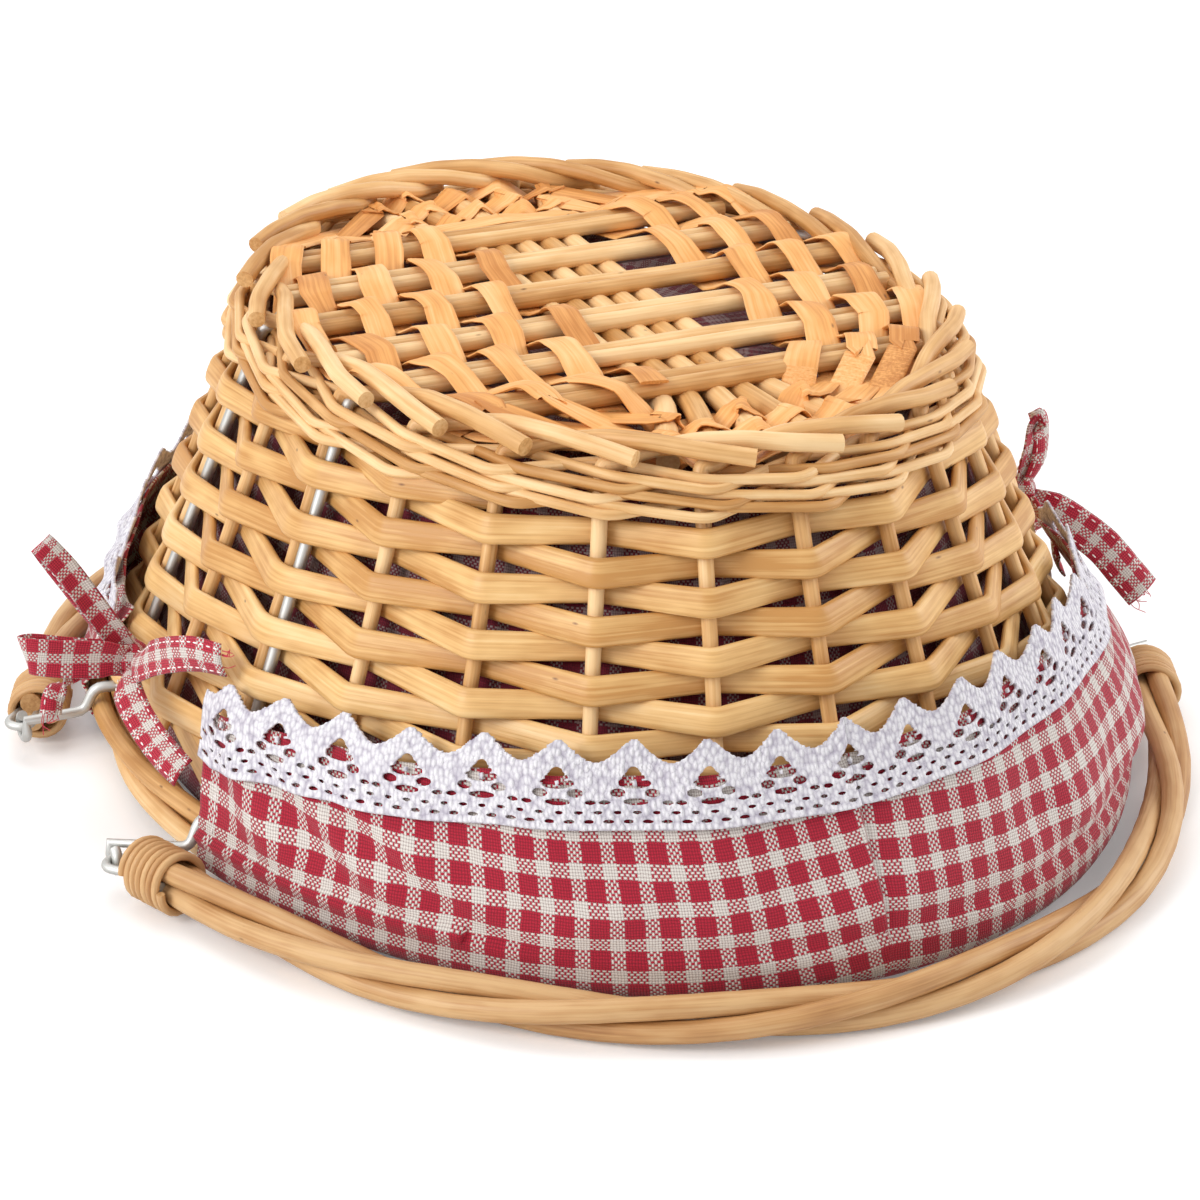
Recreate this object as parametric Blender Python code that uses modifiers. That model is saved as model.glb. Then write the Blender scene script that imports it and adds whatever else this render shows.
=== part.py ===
"""Pie basket of split willow with a gingham lining, two folding handles and lace.

The basket stands the way it was photographed: mouth down, base up, its handles
folded flat round the mouth. X runs along the hinge axes, Y along the longer side
of the oval, Z up. All lengths are in metres.

Each wall height has an oval of its own, so most places on the basket are given
as an angle round the oval, a height and an offset outwards from the wall's middle.
"""

import math

import bmesh
import bpy
from mathutils import Vector

TURN = 2 * math.pi

# Oval and wall
BASE_HALF_WIDTH = 0.106
BASE_HALF_LENGTH = 0.144
BASE_HEIGHT = 0.147
WALL_LEAN = 0.40
GAP = 0.0003

# Stakes: uprights of round willow, each bent over at the top to form the foot border
STAKES = 24
STAKE_RADIUS = 0.0025
BORDER_RISE = 0.005
BORDER_HEIGHT = BASE_HEIGHT + BORDER_RISE
BORDER_CROWN = 0.0022
BORDER_DROP = 0.0052
BORDER_SPREAD = 0.0046
BORDER_REACH_SPACES = 2.45
BORDER_STATION_SHARES = (0.041, 0.180, 0.410, 0.694, 1.0)
BORDER_CROWN_SPACES = 0.50
BORDER_DROP_SPACES = 0.62

# Side weavers: flat split willow, two at a time, each pair followed by the next
WEAVER_WIDTH = 0.0073
WEAVER_THICK = 0.0030
ROW_PITCH = 0.0080
FIRST_ROW_HEIGHT = 0.0303
WEAVER_JOINT_SPACES = 0.03

# Foot wale: thin round rods between the weave and the foot border
WALE_RADIUS = 0.0018
WALE_PITCH = 0.0039
WALE_DROP = 0.0081
WALE_HEIGHT = BASE_HEIGHT - WALE_DROP
WALE_CLEARANCE = 0.0015
WALE_CROSSINGS = 47
WALE_STROKE = 3

# Base: round sticks with flat split willow woven through them
SHORT_PAIRS = 6
SHORT_PAIR_PITCH_SHARE = 30.5 / 144
SHORT_PAIR_PITCH = BASE_HALF_LENGTH * SHORT_PAIR_PITCH_SHARE
WIRED_PAIR = 4
BASE_STICK_RADIUS = 0.0028
BASE_STICK_RISE = 0.0046
BASE_STICK_HEIGHT = BASE_HEIGHT + BASE_STICK_RISE
LONG_STICKS = 5
LONG_STICK_PITCH = 0.0062
LONG_STICK_FAN_PITCH = 0.0180
LONG_STICK_STRAIGHT_SHARE = 79 / 144
LONG_STICK_STRAIGHT = BASE_HALF_LENGTH * LONG_STICK_STRAIGHT_SHARE
STICK_BITE = 0.0015
BASE_EDGE_MARGIN = 0.0100
SKEIN_WIDTH = 0.0095
SKEIN_THICK = 0.0011
SKEIN_FIRST_SHARES = (37 / 106, 94 / 144)
SKEIN_STEP_SHARES = (17.2 / 106, 13 / 144)
SKEIN_FIRST_WIDTH = BASE_HALF_WIDTH * SKEIN_FIRST_SHARES[0]
SKEIN_FIRST_LENGTH = BASE_HALF_LENGTH * SKEIN_FIRST_SHARES[1]
SKEIN_WIDTH_STEP = BASE_HALF_WIDTH * SKEIN_STEP_SHARES[0]
SKEIN_LENGTH_STEP = BASE_HALF_LENGTH * SKEIN_STEP_SHARES[1]
SKEIN_FIRST_POWER = 3.2
SKEIN_LAST_POWER = 2.0
SKEIN_ROWS = 4

# Mouth border: three rods laid up like a rope
RIM_ROD_RADIUS = 0.0034
RIM_RODS = 3
RIM_HEIGHT = 0.0130
RIM_TURNS = 6
RIM_STEPS = 48

# Steel hinge wires: one each for the front and the rear handle
HINGE_WIRE_RADIUS = 0.0017
PIN_CLEARANCE = 0.0005
EYE_OPEN_SHARE = 0.30
EYE_STEPS = 8

# Handles: three rods twisted on a steel core, their ends bound with split willow
CORE_RADIUS = 0.0015
HANDLE_ROD_RADIUS = 0.00325
HANDLE_RODS = 3
HANDLE_TURNS = 3
HANDLE_STEPS = 29
HANDLE_SKIRT_CLEARANCE = 0.0014
BINDING_RADIUS = 0.0015
BINDING_TURNS = 5
BINDING_STEPS = 8
BINDING_SETBACK = 0.0100
BINDING_PITCH = 0.0034
REST_FLAT = 0.0008
HOOK_SIDE_CLEARANCE = 0.0006
HOOK_BEND = 0.0026
END_SLANT = math.radians(22)
END_FLARE = 0.0020

# Cloth: lining, outer skirt in two panels, lace edging and two ribbon bows
CLOTH_THICK = 0.0010
LINING_DROP = 0.0065
LINING_TOP_HEIGHT = BASE_HEIGHT - LINING_DROP
LINING_SEGMENTS = 30
SKIRT_TOP_HEIGHT = 0.0620
SKIRT_END_ANGLE = math.radians(19.5)
SKIRT_COLUMNS = 36
HEM_START_ANGLE = math.radians(200)
HEM_STEP_ANGLE = math.radians(45)
HEM_STEPS = 5
SKIRT_FOLDS = 9
SKIRT_FOLD_DEPTH = 0.0016
LACE_HEIGHT = 0.0260
LACE_THICK = 0.0009
LACE_SCALLOPS = 19
LACE_SCALLOP_DEPTH = 0.0075
RIBBON_WIDTH = 0.0130
BOW_HEIGHT = 0.0600
BOW_LOOP_LENGTH = 0.0330
BOW_LOOP_OPENING = 0.0120
BOW_LOOP_COLUMNS = 6
BOW_LOOP_HEADING_SHARES = ((0.45, 0.60, 0.66), (0.62, 0.77, -0.05))
BOW_LOOP_SPREAD_SHARES = (1.0, 0.3, 0.2)
BOW_TAIL_LENGTH = 0.0400
BOW_TAIL_COLUMNS = 2
BOW_TAIL_HEADING_SHARES = ((0.30, -0.95, 0.05), (0.72, 0.25, -0.65))
BOW_TAIL_LENGTH_SHARES = (1.0, 0.6)
BOW_STRAP_COLUMNS = 4
KNOT_RADIUS = 0.0072
KNOT_SEGMENTS = 8
KNOT_RINGS = 4

LEAN_COSINE = math.cos(math.atan(WALL_LEAN))
SPACE = TURN / STAKES


def new_material(name, colour, roughness, metallic=0.0):
    """Returns a plain Principled material."""
    material = bpy.data.materials.new(name)
    material.use_nodes = True
    shader = material.node_tree.nodes["Principled BSDF"]
    shader.inputs["Base Color"].default_value = (*colour, 1.0)
    shader.inputs["Roughness"].default_value = roughness
    shader.inputs["Metallic"].default_value = metallic
    material.diffuse_color = (*colour, 1.0)
    return material


# Where things are on the oval


def oval_point(angle, height, offset=0.0):
    """Point on the wall's middle surface at this height, moved out by offset."""
    spread = (BASE_HEIGHT - height) * WALL_LEAN + offset
    across = (BASE_HALF_WIDTH + spread) * math.cos(angle)
    along = (BASE_HALF_LENGTH + spread) * math.sin(angle)
    return Vector((across, along, height))


def angle_of_length(angle, length, height):
    """Angle that a length along the wall takes up near this angle."""
    step = oval_point(angle + SPACE / 2, height) - oval_point(angle - SPACE / 2, height)
    return SPACE * length / step.length


def hinge_stakes():
    """Stake numbers that have a hinge wire beside them, next to the ends of the X axis."""
    half = STAKES // 2
    return (1, half - 1, half + 1, STAKES - 1)


def wire_beside_stake():
    """Distance along the wall from a stake's middle to the hinge wire beside it."""
    return STAKE_RADIUS + HINGE_WIRE_RADIUS + GAP


# Builders that every sub-part shares


def link(obj, material, collection):
    """Gives the object its material and puts it in its collection."""
    obj.data.materials.append(material)
    collection.objects.link(obj)
    return obj


def poly_curve(name, points, cyclic=False, tilt=0.0):
    """Curve data with one POLY spline through these points."""
    curve = bpy.data.curves.new(name, "CURVE")
    curve.dimensions = "3D"
    curve.use_fill_caps = True
    spline = curve.splines.new("POLY")
    spline.points.add(len(points) - 1)
    for target, point in zip(spline.points, points):
        target.co = (*point, 1.0)
        target.tilt = tilt
    spline.use_cyclic_u = cyclic
    return curve


def round_rod(name, points, radius, cyclic=False, sides=6):
    """Round rod or wire through these points, as an object that isn't linked yet."""
    curve = poly_curve(name, points, cyclic)
    curve.bevel_depth = radius
    curve.bevel_resolution = (sides - 4) // 2
    return bpy.data.objects.new(name, curve)


def flat_profile(name, width, thick, helpers):
    """Rectangle that a flat strip is swept with, width upwards and thick sideways."""
    x, y = thick / 2, width / 2
    corners = [(-x, -y), (x, -y), (x, y), (-x, y)]
    curve = bpy.data.curves.new(name, "CURVE")
    curve.dimensions = "2D"
    spline = curve.splines.new("POLY")
    spline.points.add(len(corners) - 1)
    for target, corner in zip(spline.points, corners):
        target.co = (*corner, 0.0, 1.0)
    spline.use_cyclic_u = True
    profile = bpy.data.objects.new(name, curve)
    profile.hide_render = True
    helpers.objects.link(profile)
    return profile


def flat_strip(name, points, profile, cyclic=False, tilt=0.0):
    """Flat strip swept upright along these points, leant over by tilt."""
    curve = poly_curve(name, points, tilt=tilt)
    curve.twist_mode = "Z_UP"
    curve.bevel_mode = "OBJECT"
    curve.bevel_object = profile
    curve.splines[0].use_cyclic_u = cyclic
    curve.use_fill_caps = not cyclic
    return as_mesh(bpy.data.objects.new(name, curve))


def as_mesh(obj):
    """Mesh object with the shape of a curve object, which goes away."""
    scene = bpy.context.scene.collection
    scene.objects.link(obj)
    bpy.context.view_layer.update()
    mesh = bpy.data.meshes.new_from_object(obj.evaluated_get(bpy.context.evaluated_depsgraph_get()))
    name = obj.name
    bpy.data.objects.remove(obj)
    weld = bmesh.new()
    weld.from_mesh(mesh)
    bmesh.ops.remove_doubles(weld, verts=weld.verts, dist=GAP / 100)
    bmesh.ops.recalc_face_normals(weld, faces=weld.faces)
    weld.to_mesh(mesh)
    weld.free()
    return bpy.data.objects.new(name, mesh)


def built_mesh(name, build):
    """Mesh object that holds what build makes in an empty bmesh."""
    mesh = bpy.data.meshes.new(name)
    shape = bmesh.new()
    build(shape)
    shape.to_mesh(mesh)
    shape.free()
    return bpy.data.objects.new(name, mesh)


def mapped_grid(name, columns, rows, place):
    """Open sheet: a grid whose points, given as shares 0 to 1, go where place says."""
    mesh = bpy.data.meshes.new(name)
    grid = bmesh.new()
    bmesh.ops.create_grid(grid, x_segments=columns, y_segments=rows, size=0.5)
    for vert in grid.verts:
        vert.co = place(vert.co.x + 0.5, vert.co.y + 0.5)
    grid.to_mesh(mesh)
    grid.free()
    return bpy.data.objects.new(name, mesh)


def thicken(obj, thick):
    """Gives an open sheet its thickness, half to each side."""
    solidify = obj.modifiers.new("thickness", "SOLIDIFY")
    solidify.thickness = thick
    solidify.offset = 0.0


def unite(obj, others, helpers):
    """Boolean union of an object with others, which become helpers."""
    for other in others:
        other.hide_render = True
        helpers.objects.link(other)
        union = obj.modifiers.new("union", "BOOLEAN")
        union.operation = "UNION"
        union.solver = "EXACT"
        union.object = other
        union.use_self = True


# Stakes and foot border


def border_path(spaces):
    """Offset and height of a bent-over stake this many stake spaces on."""
    offset = BORDER_SPREAD * spaces + STAKE_RADIUS * 0.4 * min(spaces, 1.0)
    crown = BORDER_CROWN * min(spaces / BORDER_CROWN_SPACES, 1.0)
    drop = BORDER_DROP * max(spaces - BORDER_DROP_SPACES, 0.0)
    return offset, BORDER_HEIGHT + crown - drop


def stake_points(number):
    """Route of one stake: straight up the wall, then over and round as foot border."""
    angle = number * SPACE
    bend = BORDER_HEIGHT - STAKE_RADIUS
    points = [oval_point(angle, RIM_HEIGHT + rim_outer() + GAP), oval_point(angle, bend)]
    for share in BORDER_STATION_SHARES:
        spaces = share * BORDER_REACH_SPACES
        offset, height = border_path(spaces)
        flare = oval_point(angle + spaces * SPACE, BASE_HEIGHT, offset)
        points.append(Vector((flare.x, flare.y, height)))
    return points


def build_stakes(material, collection):
    for number in range(STAKES):
        rod = round_rod(f"stake_{number + 1:02d}", stake_points(number), STAKE_RADIUS)
        link(rod, material, collection)


# Side weave


def crossing_points(number, height, offset, reach, height_per_space):
    """Points where a weaver passes stake number: one, or two where a hinge wire is beside it."""
    angle = number * SPACE
    if number % STAKES not in hinge_stakes():
        return [oval_point(angle, height, offset)]
    lead = angle_of_length(angle, reach, height)
    beyond = angle_of_length(angle, wire_beside_stake() + reach, height)
    first = oval_point(angle - lead, height - height_per_space * lead / SPACE, offset)
    second = oval_point(angle + beyond, height + height_per_space * beyond / SPACE, offset)
    return [first, second]


def weaver_points(first, last, start, inside_parity):
    """Route of one weaver from stake crossing first to last, at start's height on crossing start."""
    rise = 2 * ROW_PITCH / STAKES
    clear = (STAKE_RADIUS + WEAVER_THICK / 2 + 2 * GAP) / LEAN_COSINE
    points = []
    for crossing in range(first, last + 1):
        height = FIRST_ROW_HEIGHT + rise * (crossing - start)
        offset = -clear if crossing % 2 == inside_parity else clear
        passing = crossing_points(crossing, height, offset, STAKE_RADIUS / 3, rise)
        if crossing == first:
            nudge = oval_point((crossing + WEAVER_JOINT_SPACES) * SPACE, height, -clear)
            passing = [nudge] if len(passing) == 1 else passing[1:]
        if crossing == last:
            nudge = oval_point((crossing - WEAVER_JOINT_SPACES) * SPACE, height, -clear)
            passing = [nudge] if len(passing) == 1 else passing[:1]
        points += passing
    return points


def weaver_reach():
    """Crossings that each length of weaver makes, an even number that ends under the wale."""
    top = WALE_HEIGHT - WALE_RADIUS - WALE_CLEARANCE - WEAVER_WIDTH / 2
    crossings = (top - FIRST_ROW_HEIGHT) * STAKES / (2 * ROW_PITCH)
    return int(crossings) // 4 * 2


def build_weavers(material, collection, helpers):
    """Two weavers at once, half a round apart, each joined once behind a stake."""
    profile = flat_profile("weaver_profile", WEAVER_WIDTH, WEAVER_THICK, helpers)
    half = STAKES // 2
    reach = weaver_reach()
    runs = (("a", 1, 1, 0), ("b", half + 2, 0, half))
    for letter, first, inside_parity, start in runs:
        for part in (1, 2):
            begin = first + (part - 1) * reach
            points = weaver_points(begin, begin + reach, start, inside_parity)
            name = f"side_weaver_{letter}{part}"
            strip = flat_strip(name, points, profile, tilt=-math.atan(WALL_LEAN))
            link(strip, material, collection)


def wale_offset():
    """Offset at which the middle of the wale passes a stake."""
    return (STAKE_RADIUS + WALE_RADIUS + 1.5 * GAP) / LEAN_COSINE


def wale_reach():
    return wale_offset() + WALE_RADIUS / LEAN_COSINE


def build_wale(material, collection):
    """Thin rod that passes outside two stakes and inside one, up to the foot border."""
    rise = WALE_PITCH / STAKES
    clear = wale_offset()
    points = []
    for crossing in range(WALE_CROSSINGS):
        height = WALE_HEIGHT + rise * crossing
        inside = (crossing + crossing // STAKES) % WALE_STROKE == 0
        offset = -clear if inside else clear
        points += crossing_points(crossing, height, offset, STAKE_RADIUS / 3, rise)
    link(round_rod("foot_wale", points, WALE_RADIUS), material, collection)


# Base


def base_edge(angle):
    """Point at the inside of the foot border, at the height of the base sticks."""
    point = oval_point(angle, BASE_HEIGHT, -BASE_EDGE_MARGIN)
    return Vector((point.x, point.y, BASE_STICK_HEIGHT))


def short_stick_half_length(along):
    """Half the length of a short base stick that lies at this place along Y."""
    return base_edge(0.0).x * math.sqrt(1 - (along / base_edge(TURN / 4).y) ** 2)


def pair_place(pair):
    """Middle of one pair of short sticks along Y."""
    return (pair - (SHORT_PAIRS - 1) / 2) * SHORT_PAIR_PITCH


def long_stick_height():
    return BASE_STICK_HEIGHT - 2 * BASE_STICK_RADIUS + STICK_BITE


def long_stick_across(stick, along):
    """Place of a long stick along X: side by side in the middle, fanned out at the ends."""
    lane = stick - (LONG_STICKS - 1) / 2
    end = base_edge(TURN / 4).y
    fan = max(abs(along) - LONG_STICK_STRAIGHT, 0.0) / (end - LONG_STICK_STRAIGHT)
    return lane * (LONG_STICK_PITCH + (LONG_STICK_FAN_PITCH - LONG_STICK_PITCH) * fan)


def build_base_sticks(material, collection, helpers):
    """Pairs of short sticks laid across the long sticks, fused where they bite."""
    rods = []
    for pair in range(SHORT_PAIRS):
        for side in (-1, 1):
            along = pair_place(pair) + side * (BASE_STICK_RADIUS + GAP / 2)
            half = short_stick_half_length(along)
            ends = [Vector((end * half, along, BASE_STICK_HEIGHT)) for end in (-1, 1)]
            rods.append(as_mesh(round_rod(f"short_stick_{len(rods) + 1}", ends, BASE_STICK_RADIUS)))
    for stick in range(LONG_STICKS):
        lane = long_stick_across(stick, base_edge(TURN / 4).y)
        end = base_edge(TURN / 4).y * math.sqrt(1 - (lane / base_edge(0.0).x) ** 2)
        points = []
        for along in (-end, -LONG_STICK_STRAIGHT, LONG_STICK_STRAIGHT, end):
            points.append(Vector((long_stick_across(stick, along), along, long_stick_height())))
        rods.append(as_mesh(round_rod(f"long_stick_{stick + 1}", points, BASE_STICK_RADIUS)))
    slath = rods[-1]
    slath.name = "base_sticks"
    unite(slath, rods[:-1], helpers)
    link(slath, material, collection)


def skein_place(row, share_of, along_x):
    """Distance along one axis at which a row of base weaving is this far along the other."""
    half_width = SKEIN_FIRST_WIDTH + row * SKEIN_WIDTH_STEP
    half_length = SKEIN_FIRST_LENGTH + row * SKEIN_LENGTH_STEP
    power = SKEIN_FIRST_POWER + (SKEIN_LAST_POWER - SKEIN_FIRST_POWER) * row / (SKEIN_ROWS - 1)
    known, asked = (half_width, half_length) if along_x else (half_length, half_width)
    return asked * (1 - (abs(share_of) / known) ** power) ** (1 / power)


def pair_edges(pair):
    """Where one pair of short sticks starts and ends along Y, with any hinge wire beside it."""
    reach = 2 * BASE_STICK_RADIUS + GAP / 2
    low, high = pair_place(pair) - reach, pair_place(pair) + reach
    wire = 2 * HINGE_WIRE_RADIUS + GAP
    if pair == WIRED_PAIR:
        low -= wire
    if pair == SHORT_PAIRS - 1 - WIRED_PAIR:
        high += wire
    return low, high


def pair_crossings(row, side):
    """Where a row crosses the pairs of short sticks on one side, in the order it meets them."""
    found = []
    for pair in range(SHORT_PAIRS):
        low, high = pair_edges(pair)
        edges = []
        for along in (low - SKEIN_THICK, high + SKEIN_THICK):
            edges.append((side * skein_place(row, along, along_x=False), along))
        found.append(edges[::side])
    return found[::side]


def stick_crossings(row, side):
    """Where a row crosses the long sticks at one end: all at once in the first row, then each."""
    found = []
    for stick in range(LONG_STICKS):
        along = skein_place(row, 0.0, along_x=True)
        for _ in range(4):
            across = long_stick_across(stick, along)
            along = skein_place(row, across, along_x=True)
        reach = BASE_STICK_RADIUS * (1.1 if row == 0 else 0.8)
        edges = [(across + end * reach, side * along) for end in (-1, 1)]
        found.append(edges[::-side])
    found = found[::-side]
    if row == 0:
        found = [[found[0][0], found[-1][1]]]
    return found


def skein_points(row):
    """Closed route of one row, counterclockwise: over one crossing, under the next."""
    short = [(edges, BASE_STICK_HEIGHT) for edges in pair_crossings(row, 1)]
    back = [(edges, long_stick_height()) for edges in stick_crossings(row, 1)]
    left = [(edges, BASE_STICK_HEIGHT) for edges in pair_crossings(row, -1)]
    front = [(edges, long_stick_height()) for edges in stick_crossings(row, -1)]
    clear = BASE_STICK_RADIUS + SKEIN_THICK / 2 + GAP
    points = []
    for number, (edges, middle) in enumerate(short + back + left + front):
        height = middle + (clear if number % 2 == row % 2 else -clear)
        points += [Vector((across, along, height)) for across, along in edges]
    return points


def build_skeins(material, collection, helpers):
    """One closed row of flat split willow for each oval of the base."""
    profile = flat_profile("skein_profile", SKEIN_THICK, SKEIN_WIDTH, helpers)
    for row in range(SKEIN_ROWS):
        strip = flat_strip(f"base_weaver_{row + 1}", skein_points(row), profile, cyclic=True)
        link(strip, material, collection)


# Mouth border


def rim_circle():
    """Radius of the corners of the border rods' lay, so that the rods clear each other."""
    chord = math.cos(TURN / 2 * RIM_TURNS / RIM_STEPS)
    return (RIM_ROD_RADIUS + GAP / 2) / math.sin(TURN / 2 / RIM_RODS) / chord


def rim_outer():
    return rim_circle() + RIM_ROD_RADIUS


def build_rim(material, collection):
    """Rods laid round each other into a closed ring at the mouth."""
    for rod in range(RIM_RODS):
        points = []
        for step in range(RIM_STEPS):
            angle = TURN * step / RIM_STEPS
            lay = RIM_TURNS * angle + TURN * rod / RIM_RODS
            offset = rim_circle() * math.cos(lay)
            height = RIM_HEIGHT + rim_circle() * math.sin(lay)
            middle = oval_point(angle, RIM_HEIGHT, offset)
            points.append(Vector((middle.x, middle.y, height)))
        ring = round_rod(f"rim_rod_{rod + 1}", points, RIM_ROD_RADIUS, cyclic=True)
        link(ring, material, collection)


# Handles: their oval, their ends and the hinge line they turn on


def cloth_at_mouth():
    """Offset of the middle of the cloth where it goes round the mouth border."""
    return rim_outer() + GAP + CLOTH_THICK / 2


def lay_circle():
    """Radius of the corners of the handle rods' lay, so that they clear the core between corners."""
    chord = math.cos(TURN / 2 * (HANDLE_TURNS + 0.2) / HANDLE_STEPS)
    return (CORE_RADIUS + GAP + HANDLE_ROD_RADIUS) / chord


def bundle_radius():
    return lay_circle() + HANDLE_ROD_RADIUS


def binding_circle():
    """Radius of the middle of the binding's turns, clear of the rods at the middle of a chord."""
    return (bundle_radius() + GAP + BINDING_RADIUS) / math.cos(TURN / 2 / BINDING_STEPS)


def binding_length():
    return BINDING_TURNS * BINDING_PITCH


def handle_height():
    return bundle_radius() - REST_FLAT


def hinge_height():
    return binding_circle() + BINDING_RADIUS - REST_FLAT


def handle_half_sizes():
    """Half width and half length of the oval that the folded handles follow."""
    offset = cloth_at_mouth() + CLOTH_THICK / 2 + HANDLE_SKIRT_CLEARANCE + bundle_radius()
    corner = oval_point(TURN / 8, handle_height(), offset) * math.sqrt(2)
    return corner.x, corner.y


def hinge_along():
    """Distance of each hinge line from the middle of the basket."""
    return oval_point(SPACE, RIM_HEIGHT).y


def ring_radius():
    return CORE_RADIUS + PIN_CLEARANCE + HINGE_WIRE_RADIUS


def leg_spread():
    """Distance from the eye's middle to each leg of the hook that holds it."""
    return HINGE_WIRE_RADIUS + HOOK_SIDE_CLEARANCE + CORE_RADIUS


def end_direction():
    """Way that a handle leaves its hinge, in the corner where both coordinates are positive."""
    return Vector((-math.sin(END_SLANT), math.cos(END_SLANT), 0.0))


def end_outward():
    return Vector((math.cos(END_SLANT), math.sin(END_SLANT), 0.0))


def eye_across():
    """Place of the eyes along X, so that the bound end runs out onto the handle's oval."""
    half_width, half_length = handle_half_sizes()
    run = BINDING_SETBACK + binding_length()
    along = hinge_along() + run * math.cos(END_SLANT)
    on_oval = half_width * math.sqrt(1 - (along / half_length) ** 2)
    return on_oval + END_FLARE + leg_spread() + run * math.sin(END_SLANT)


def end_axis(run):
    """Point on the middle of a bound handle end, in the corner where both coordinates are positive."""
    start = Vector((eye_across() - leg_spread(), hinge_along(), hinge_height()))
    return start + end_direction() * run


def in_corner(point, side_x, side_y):
    """The same point mirrored into another corner of the basket."""
    return Vector((point.x * side_x, point.y * side_y, point.z))


def handle_middle(side_y):
    """Middle line of a handle between its bound ends, from left to right."""
    half_width, half_length = handle_half_sizes()
    end = end_axis(BINDING_SETBACK + binding_length())
    begin = math.asin(end.y / half_length) + SPACE / 2
    arc = []
    for step in range(HANDLE_STEPS + 1):
        angle = begin + (TURN / 2 - 2 * begin) * step / HANDLE_STEPS
        away = min(angle - begin, TURN / 2 - begin - angle) / SPACE
        height = handle_height() + (hinge_height() - handle_height()) * max(1 - away, 0.0) / 2
        across = -half_width * math.cos(angle)
        arc.append(Vector((across, side_y * half_length * math.sin(angle), height)))
    left = [in_corner(end_axis(BINDING_SETBACK), -1, side_y), in_corner(end, -1, side_y)]
    right = [in_corner(end, 1, side_y), in_corner(end_axis(BINDING_SETBACK), 1, side_y)]
    return left + arc + right


def line_length(points):
    return sum((end - start).length for start, end in zip(points, points[1:]))


def along_line(points, share):
    """Point and direction at this share of the length of a line of points."""
    left = share * line_length(points)
    for start, end in zip(points, points[1:]):
        length = (end - start).length
        if left <= length:
            break
        left -= length
    return start.lerp(end, min(left / length, 1.0)), (end - start).normalized()


def twisted(points, share, phase, radius):
    """Point this share along a line of points, moved off it to a radius at an angle."""
    point, direction = along_line(points, share)
    outward = direction.cross(Vector((0.0, 0.0, 1.0))).normalized()
    upward = outward.cross(direction)
    return point + outward * radius * math.cos(phase) + upward * radius * math.sin(phase)


def hook_points(side_x, side_y):
    """End of a handle's core: out of the binding, through the eye and back into it."""
    pin = Vector((0.0, hinge_along(), hinge_height()))
    inner = eye_across() - leg_spread()
    outer = eye_across() + leg_spread()
    past_ring = ring_radius() + HINGE_WIRE_RADIUS + HOOK_SIDE_CLEARANCE
    corner = [
        end_axis(BINDING_SETBACK),
        Vector((inner, pin.y + HOOK_BEND, pin.z)),
        Vector((inner + HOOK_BEND, pin.y, pin.z)),
        Vector((outer - HOOK_BEND, pin.y, pin.z)),
        Vector((outer, pin.y + HOOK_BEND, pin.z)),
        Vector((outer, pin.y + past_ring, pin.z)),
    ]
    nest = CORE_RADIUS + HANDLE_ROD_RADIUS + 2 * GAP
    for run in (BINDING_SETBACK * 1.2, BINDING_SETBACK + binding_length() * 0.8):
        corner.append(end_axis(run) + end_outward() * nest)
    return [in_corner(point, side_x, side_y) for point in corner]


def flatten(obj, helpers):
    """Cuts off what lies below the surface that the basket stands on."""
    cutter = bpy.data.objects.get("floor_cutter")
    if cutter is None:
        size = 4 * BASE_HALF_LENGTH
        cutter = built_mesh("floor_cutter", lambda mesh: bmesh.ops.create_cube(mesh, size=size))
        cutter.location.z = -size / 2
        cutter.hide_render = True
        helpers.objects.link(cutter)
    cut = obj.modifiers.new("flat", "BOOLEAN")
    cut.operation = "DIFFERENCE"
    cut.solver = "EXACT"
    cut.object = cutter
    return obj


def binding_points(side_x, side_y):
    """Turns of split willow round one bound end."""
    line = [end_axis(BINDING_SETBACK + run) for run in (0.0, binding_length())]
    line = [in_corner(point, side_x, side_y) for point in line]
    steps = BINDING_TURNS * BINDING_STEPS
    points = []
    for step in range(steps + 1):
        points.append(twisted(line, step / steps, TURN * step / BINDING_STEPS, binding_circle()))
    return points


def build_handle(name, side_y, willow, steel, collection, helpers):
    """One folding handle on an empty that stands on its hinge line."""
    axis = bpy.data.objects.new(f"{name}_axis", None)
    axis.location = (0.0, side_y * hinge_along(), hinge_height())
    collection.objects.link(axis)
    middle = handle_middle(side_y)
    core = hook_points(-1, side_y)[:0:-1] + middle + hook_points(1, side_y)[1:]
    pieces = [link(round_rod(f"{name}_core", core, CORE_RADIUS, sides=4), steel, collection)]
    bound = binding_length() / line_length(middle)
    first = TURN / 2 if side_y > 0 else 0.0
    for rod in range(HANDLE_RODS):
        points = []
        for step in range(HANDLE_STEPS + 1):
            share = step / HANDLE_STEPS
            lay = min(max((share - bound) / (1 - 2 * bound), 0.0), 1.0)
            phase = first - side_y * TURN * (HANDLE_TURNS * lay + (rod + 0.5) / HANDLE_RODS)
            points.append(twisted(middle, share, phase, lay_circle()))
        shape = as_mesh(round_rod(f"{name}_rod_{rod + 1}", points, HANDLE_ROD_RADIUS))
        pieces.append(link(flatten(shape, helpers), willow, collection))
    for side_x, end in ((-1, "left"), (1, "right")):
        points = binding_points(side_x, side_y)
        shape = as_mesh(round_rod(f"{name}_binding_{end}", points, BINDING_RADIUS, sides=4))
        pieces.append(link(flatten(shape, helpers), willow, collection))
    bpy.context.view_layer.update()
    for piece in pieces:
        piece.parent = axis
        piece.matrix_parent_inverse = axis.matrix_world.inverted()


# Hinge wires


def wire_place_on_base():
    """Distance from the middle to the wire that lies beside the second pair of short sticks."""
    return pair_edges(WIRED_PAIR)[0] + HINGE_WIRE_RADIUS


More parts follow.
